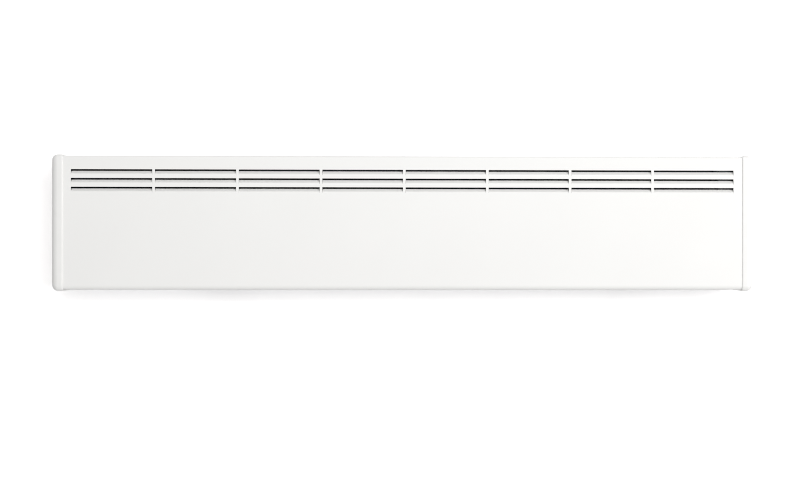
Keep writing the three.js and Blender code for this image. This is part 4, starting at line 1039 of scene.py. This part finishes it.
dress(ZINC, 0.3, "wall_bracket", "rear_panel")
dress(ZINC, 0.15, "element_bracket_left", "element_bracket_centre", "element_bracket_right")
# painted shade: the air deflector is dressed in matt black so that the louvre gaps read as dark as the shade
# inside them
dress(SHADE_BLACK, 0.15, "air_deflector")
dress(PLASTIC_GREY, 0.35, "bracket_lock_left", "bracket_lock_right", "terminal_block")
dress(ALUMINIUM, 0.25, "element_fins")
dress(SHEATH, 0.2, "heating_rod")
dress(CERAMIC, 0.3, "rod_bush_left", "rod_bush_right")
dress(CERAMIC, 0.3, "rod_insulator_left", "rod_insulator_right")
dress(PLASTIC_DARK, 0.3, "control_chassis", "chassis_lid", "thermostat_body", "switch_housing")
dress(PLASTIC_DARK, 0.3, "cord_gland", "overheat_cutout", "wire_clip_left", "wire_clip_right")
dress(BRASS, 0.15, "thermostat_shaft")
dress(PLASTIC_WHITE, 0.3, "switch_rocker")
dress_wire(WIRE_BROWN, "wire_live_to_switch", "wire_switch_to_thermostat")
dress_wire(WIRE_BROWN, "wire_thermostat_to_cutout", "wire_cutout_to_element")
dress_wire(WIRE_BLUE, "wire_element_return")
dress_wire(WIRE_GREEN, "wire_earth")

# ---------- Wall, lights and camera (metres) ----------


def wall():
    """White wall that shows from the front only, so that views from behind see the object; to the camera its
    colour also darkens by ambient occlusion close to the object, a painted contact shadow on top of the real
    shadows.
    """
    mesh = bpy.data.meshes.new("wall")
    corners = [(-1, -1), (1, -1), (1, 1), (-1, 1)]
    (x, z), y = WALL_HALF, WALL_Y
    mesh.from_pydata([(a * x, y, b * z) for a, b in corners], [], [(0, 1, 2, 3)])
    obj = bpy.data.objects.new("wall", mesh)
    scene.collection.objects.link(obj)
    material = bpy.data.materials.new("wall_paint")
    material.use_nodes = True
    tree = material.node_tree
    tree.nodes.clear()
    add = tree.nodes.new
    out = add("ShaderNodeOutputMaterial")
    path, face = add("ShaderNodeLightPath"), add("ShaderNodeNewGeometry")
    plain, seen = add("ShaderNodeBsdfDiffuse"), add("ShaderNodeBsdfDiffuse")
    plain.inputs["Color"].default_value = (0.82, 0.82, 0.82, 1)
    # painted contact shadow: ambient occlusion darkens the wall's colour to the camera close to the object
    near = add("ShaderNodeAmbientOcclusion")
    near.samples = 16
    near.inputs["Distance"].default_value = PAINTED_SHADOW_REACH
    shade = add("ShaderNodeMix")
    shade.data_type = "RGBA"
    shade.inputs[0].default_value = PAINTED_SHADOW_SHARE
    shade.inputs[6].default_value = (*WALL_SEEN, 1)
    near.inputs["Color"].default_value = (*WALL_SEEN, 1)
    clear = add("ShaderNodeBsdfTransparent")
    choose, one_sided = add("ShaderNodeMixShader"), add("ShaderNodeMixShader")
    link = tree.links.new
    link(near.outputs["Color"], shade.inputs[7])
    link(shade.outputs[2], seen.inputs["Color"])
    link(path.outputs["Is Camera Ray"], choose.inputs[0])
    link(plain.outputs[0], choose.inputs[1])
    link(seen.outputs[0], choose.inputs[2])
    link(face.outputs["Backfacing"], one_sided.inputs[0])
    link(choose.outputs[0], one_sided.inputs[1])
    link(clear.outputs[0], one_sided.inputs[2])
    link(one_sided.outputs[0], out.inputs["Surface"])
    mesh.materials.append(material)
    obj.visible_shadow = False


def lamp(name, place, target, size, power):
    data = bpy.data.lights.new(name, "AREA")
    data.shape = "RECTANGLE"
    data.size, data.size_y = size
    data.energy = power
    obj = bpy.data.objects.new(name, data)
    obj.location = place
    obj.rotation_euler = (Vector(target) - Vector(place)).to_track_quat("-Z", "Y").to_euler()
    scene.collection.objects.link(obj)
    return obj


def surroundings():
    """White to the camera, softer as light."""
    world = bpy.data.worlds.new("studio")
    scene.world = world
    world.use_nodes = True
    tree = world.node_tree
    tree.nodes.clear()
    add, link = tree.nodes.new, tree.links.new
    out, path = add("ShaderNodeOutputWorld"), add("ShaderNodeLightPath")
    seen, light = add("ShaderNodeBackground"), add("ShaderNodeBackground")
    choose = add("ShaderNodeMixShader")
    seen.inputs["Strength"].default_value = 1.0
    seen.inputs["Color"].default_value = (1, 1, 1, 1)
    light.inputs["Color"].default_value = (1, 1, 1, 1)
    coords = add("ShaderNodeTexCoord")
    slope, level = add("ShaderNodeVectorMath"), add("ShaderNodeMath")
    slope.operation = "DOT_PRODUCT"
    slope.inputs[1].default_value = AMBIENT_SLOPE
    link(coords.outputs["Generated"], slope.inputs[0])
    link(slope.outputs["Value"], level.inputs[0])
    level.inputs[1].default_value = AMBIENT
    link(level.outputs[0], light.inputs["Strength"])
    rays, rays2 = add("ShaderNodeMath"), add("ShaderNodeMath")
    rays.operation = rays2.operation = "MAXIMUM"
    link(path.outputs["Is Camera Ray"], rays.inputs[0])
    link(path.outputs["Is Glossy Ray"], rays.inputs[1])
    link(rays.outputs[0], rays2.inputs[0])
    link(path.outputs["Is Transmission Ray"], rays2.inputs[1])
    link(rays2.outputs[0], choose.inputs[0])
    link(light.outputs[0], choose.inputs[1])
    link(seen.outputs[0], choose.inputs[2])
    link(choose.outputs[0], out.inputs["Surface"])


WALL_HALF = (2.5, 2.0)  # half its width and height
WALL_Y = 0.0006
WALL_SEEN = (1.72, 1.7, 1.7)  # its colour to the camera
# painted contact shadow: the wall's colour to the camera darkens by ambient occlusion within this reach of the
# object, on top of the real shadows
PAINTED_SHADOW_SHARE = 0.36  # how far the painted contact shadow darkens the wall close to the object
PAINTED_SHADOW_REACH = 0.08
AMBIENT = 0.46  # the world's light, more of it from the left and from below
AMBIENT_SLOPE = (-0.045, 0.0, -0.12)

wall()
surroundings()
lamp("key", (3.1, -3.3, 0.45), (0.2, 0, 0), (1.6, 3.0), 100)
lamp("front", (0.35, -2.4, 0.85), (0.2, 0, 0), (2.2, 0.9), 18)
lamp("back_fill", (-1.5, 2.1, 1.5), (0, 0, 0), (1.2, 1.0), 42)

camera = bpy.data.objects.new("camera", bpy.data.cameras.new("camera"))
camera.data.lens = 67.5
camera.data.sensor_width = 36
camera.data.clip_start = 0.05
camera.data.clip_end = 50
camera.location = (-0.07199, -2.2818, -0.0407)
yaw, pitch, roll = (math.radians(a) for a in (-1.695, 0.0287, 0.05))
level_view = Matrix.Rotation(yaw, 3, "Z") @ Matrix.Rotation(math.pi / 2 + pitch, 3, "X")
camera.rotation_euler = (level_view @ Matrix.Rotation(roll, 3, "Z")).to_euler()
scene.collection.objects.link(camera)
scene.camera = camera

scene.view_settings.view_transform = "Standard"
scene.cycles.filter_width = 1.0  # as crisp as the photograph
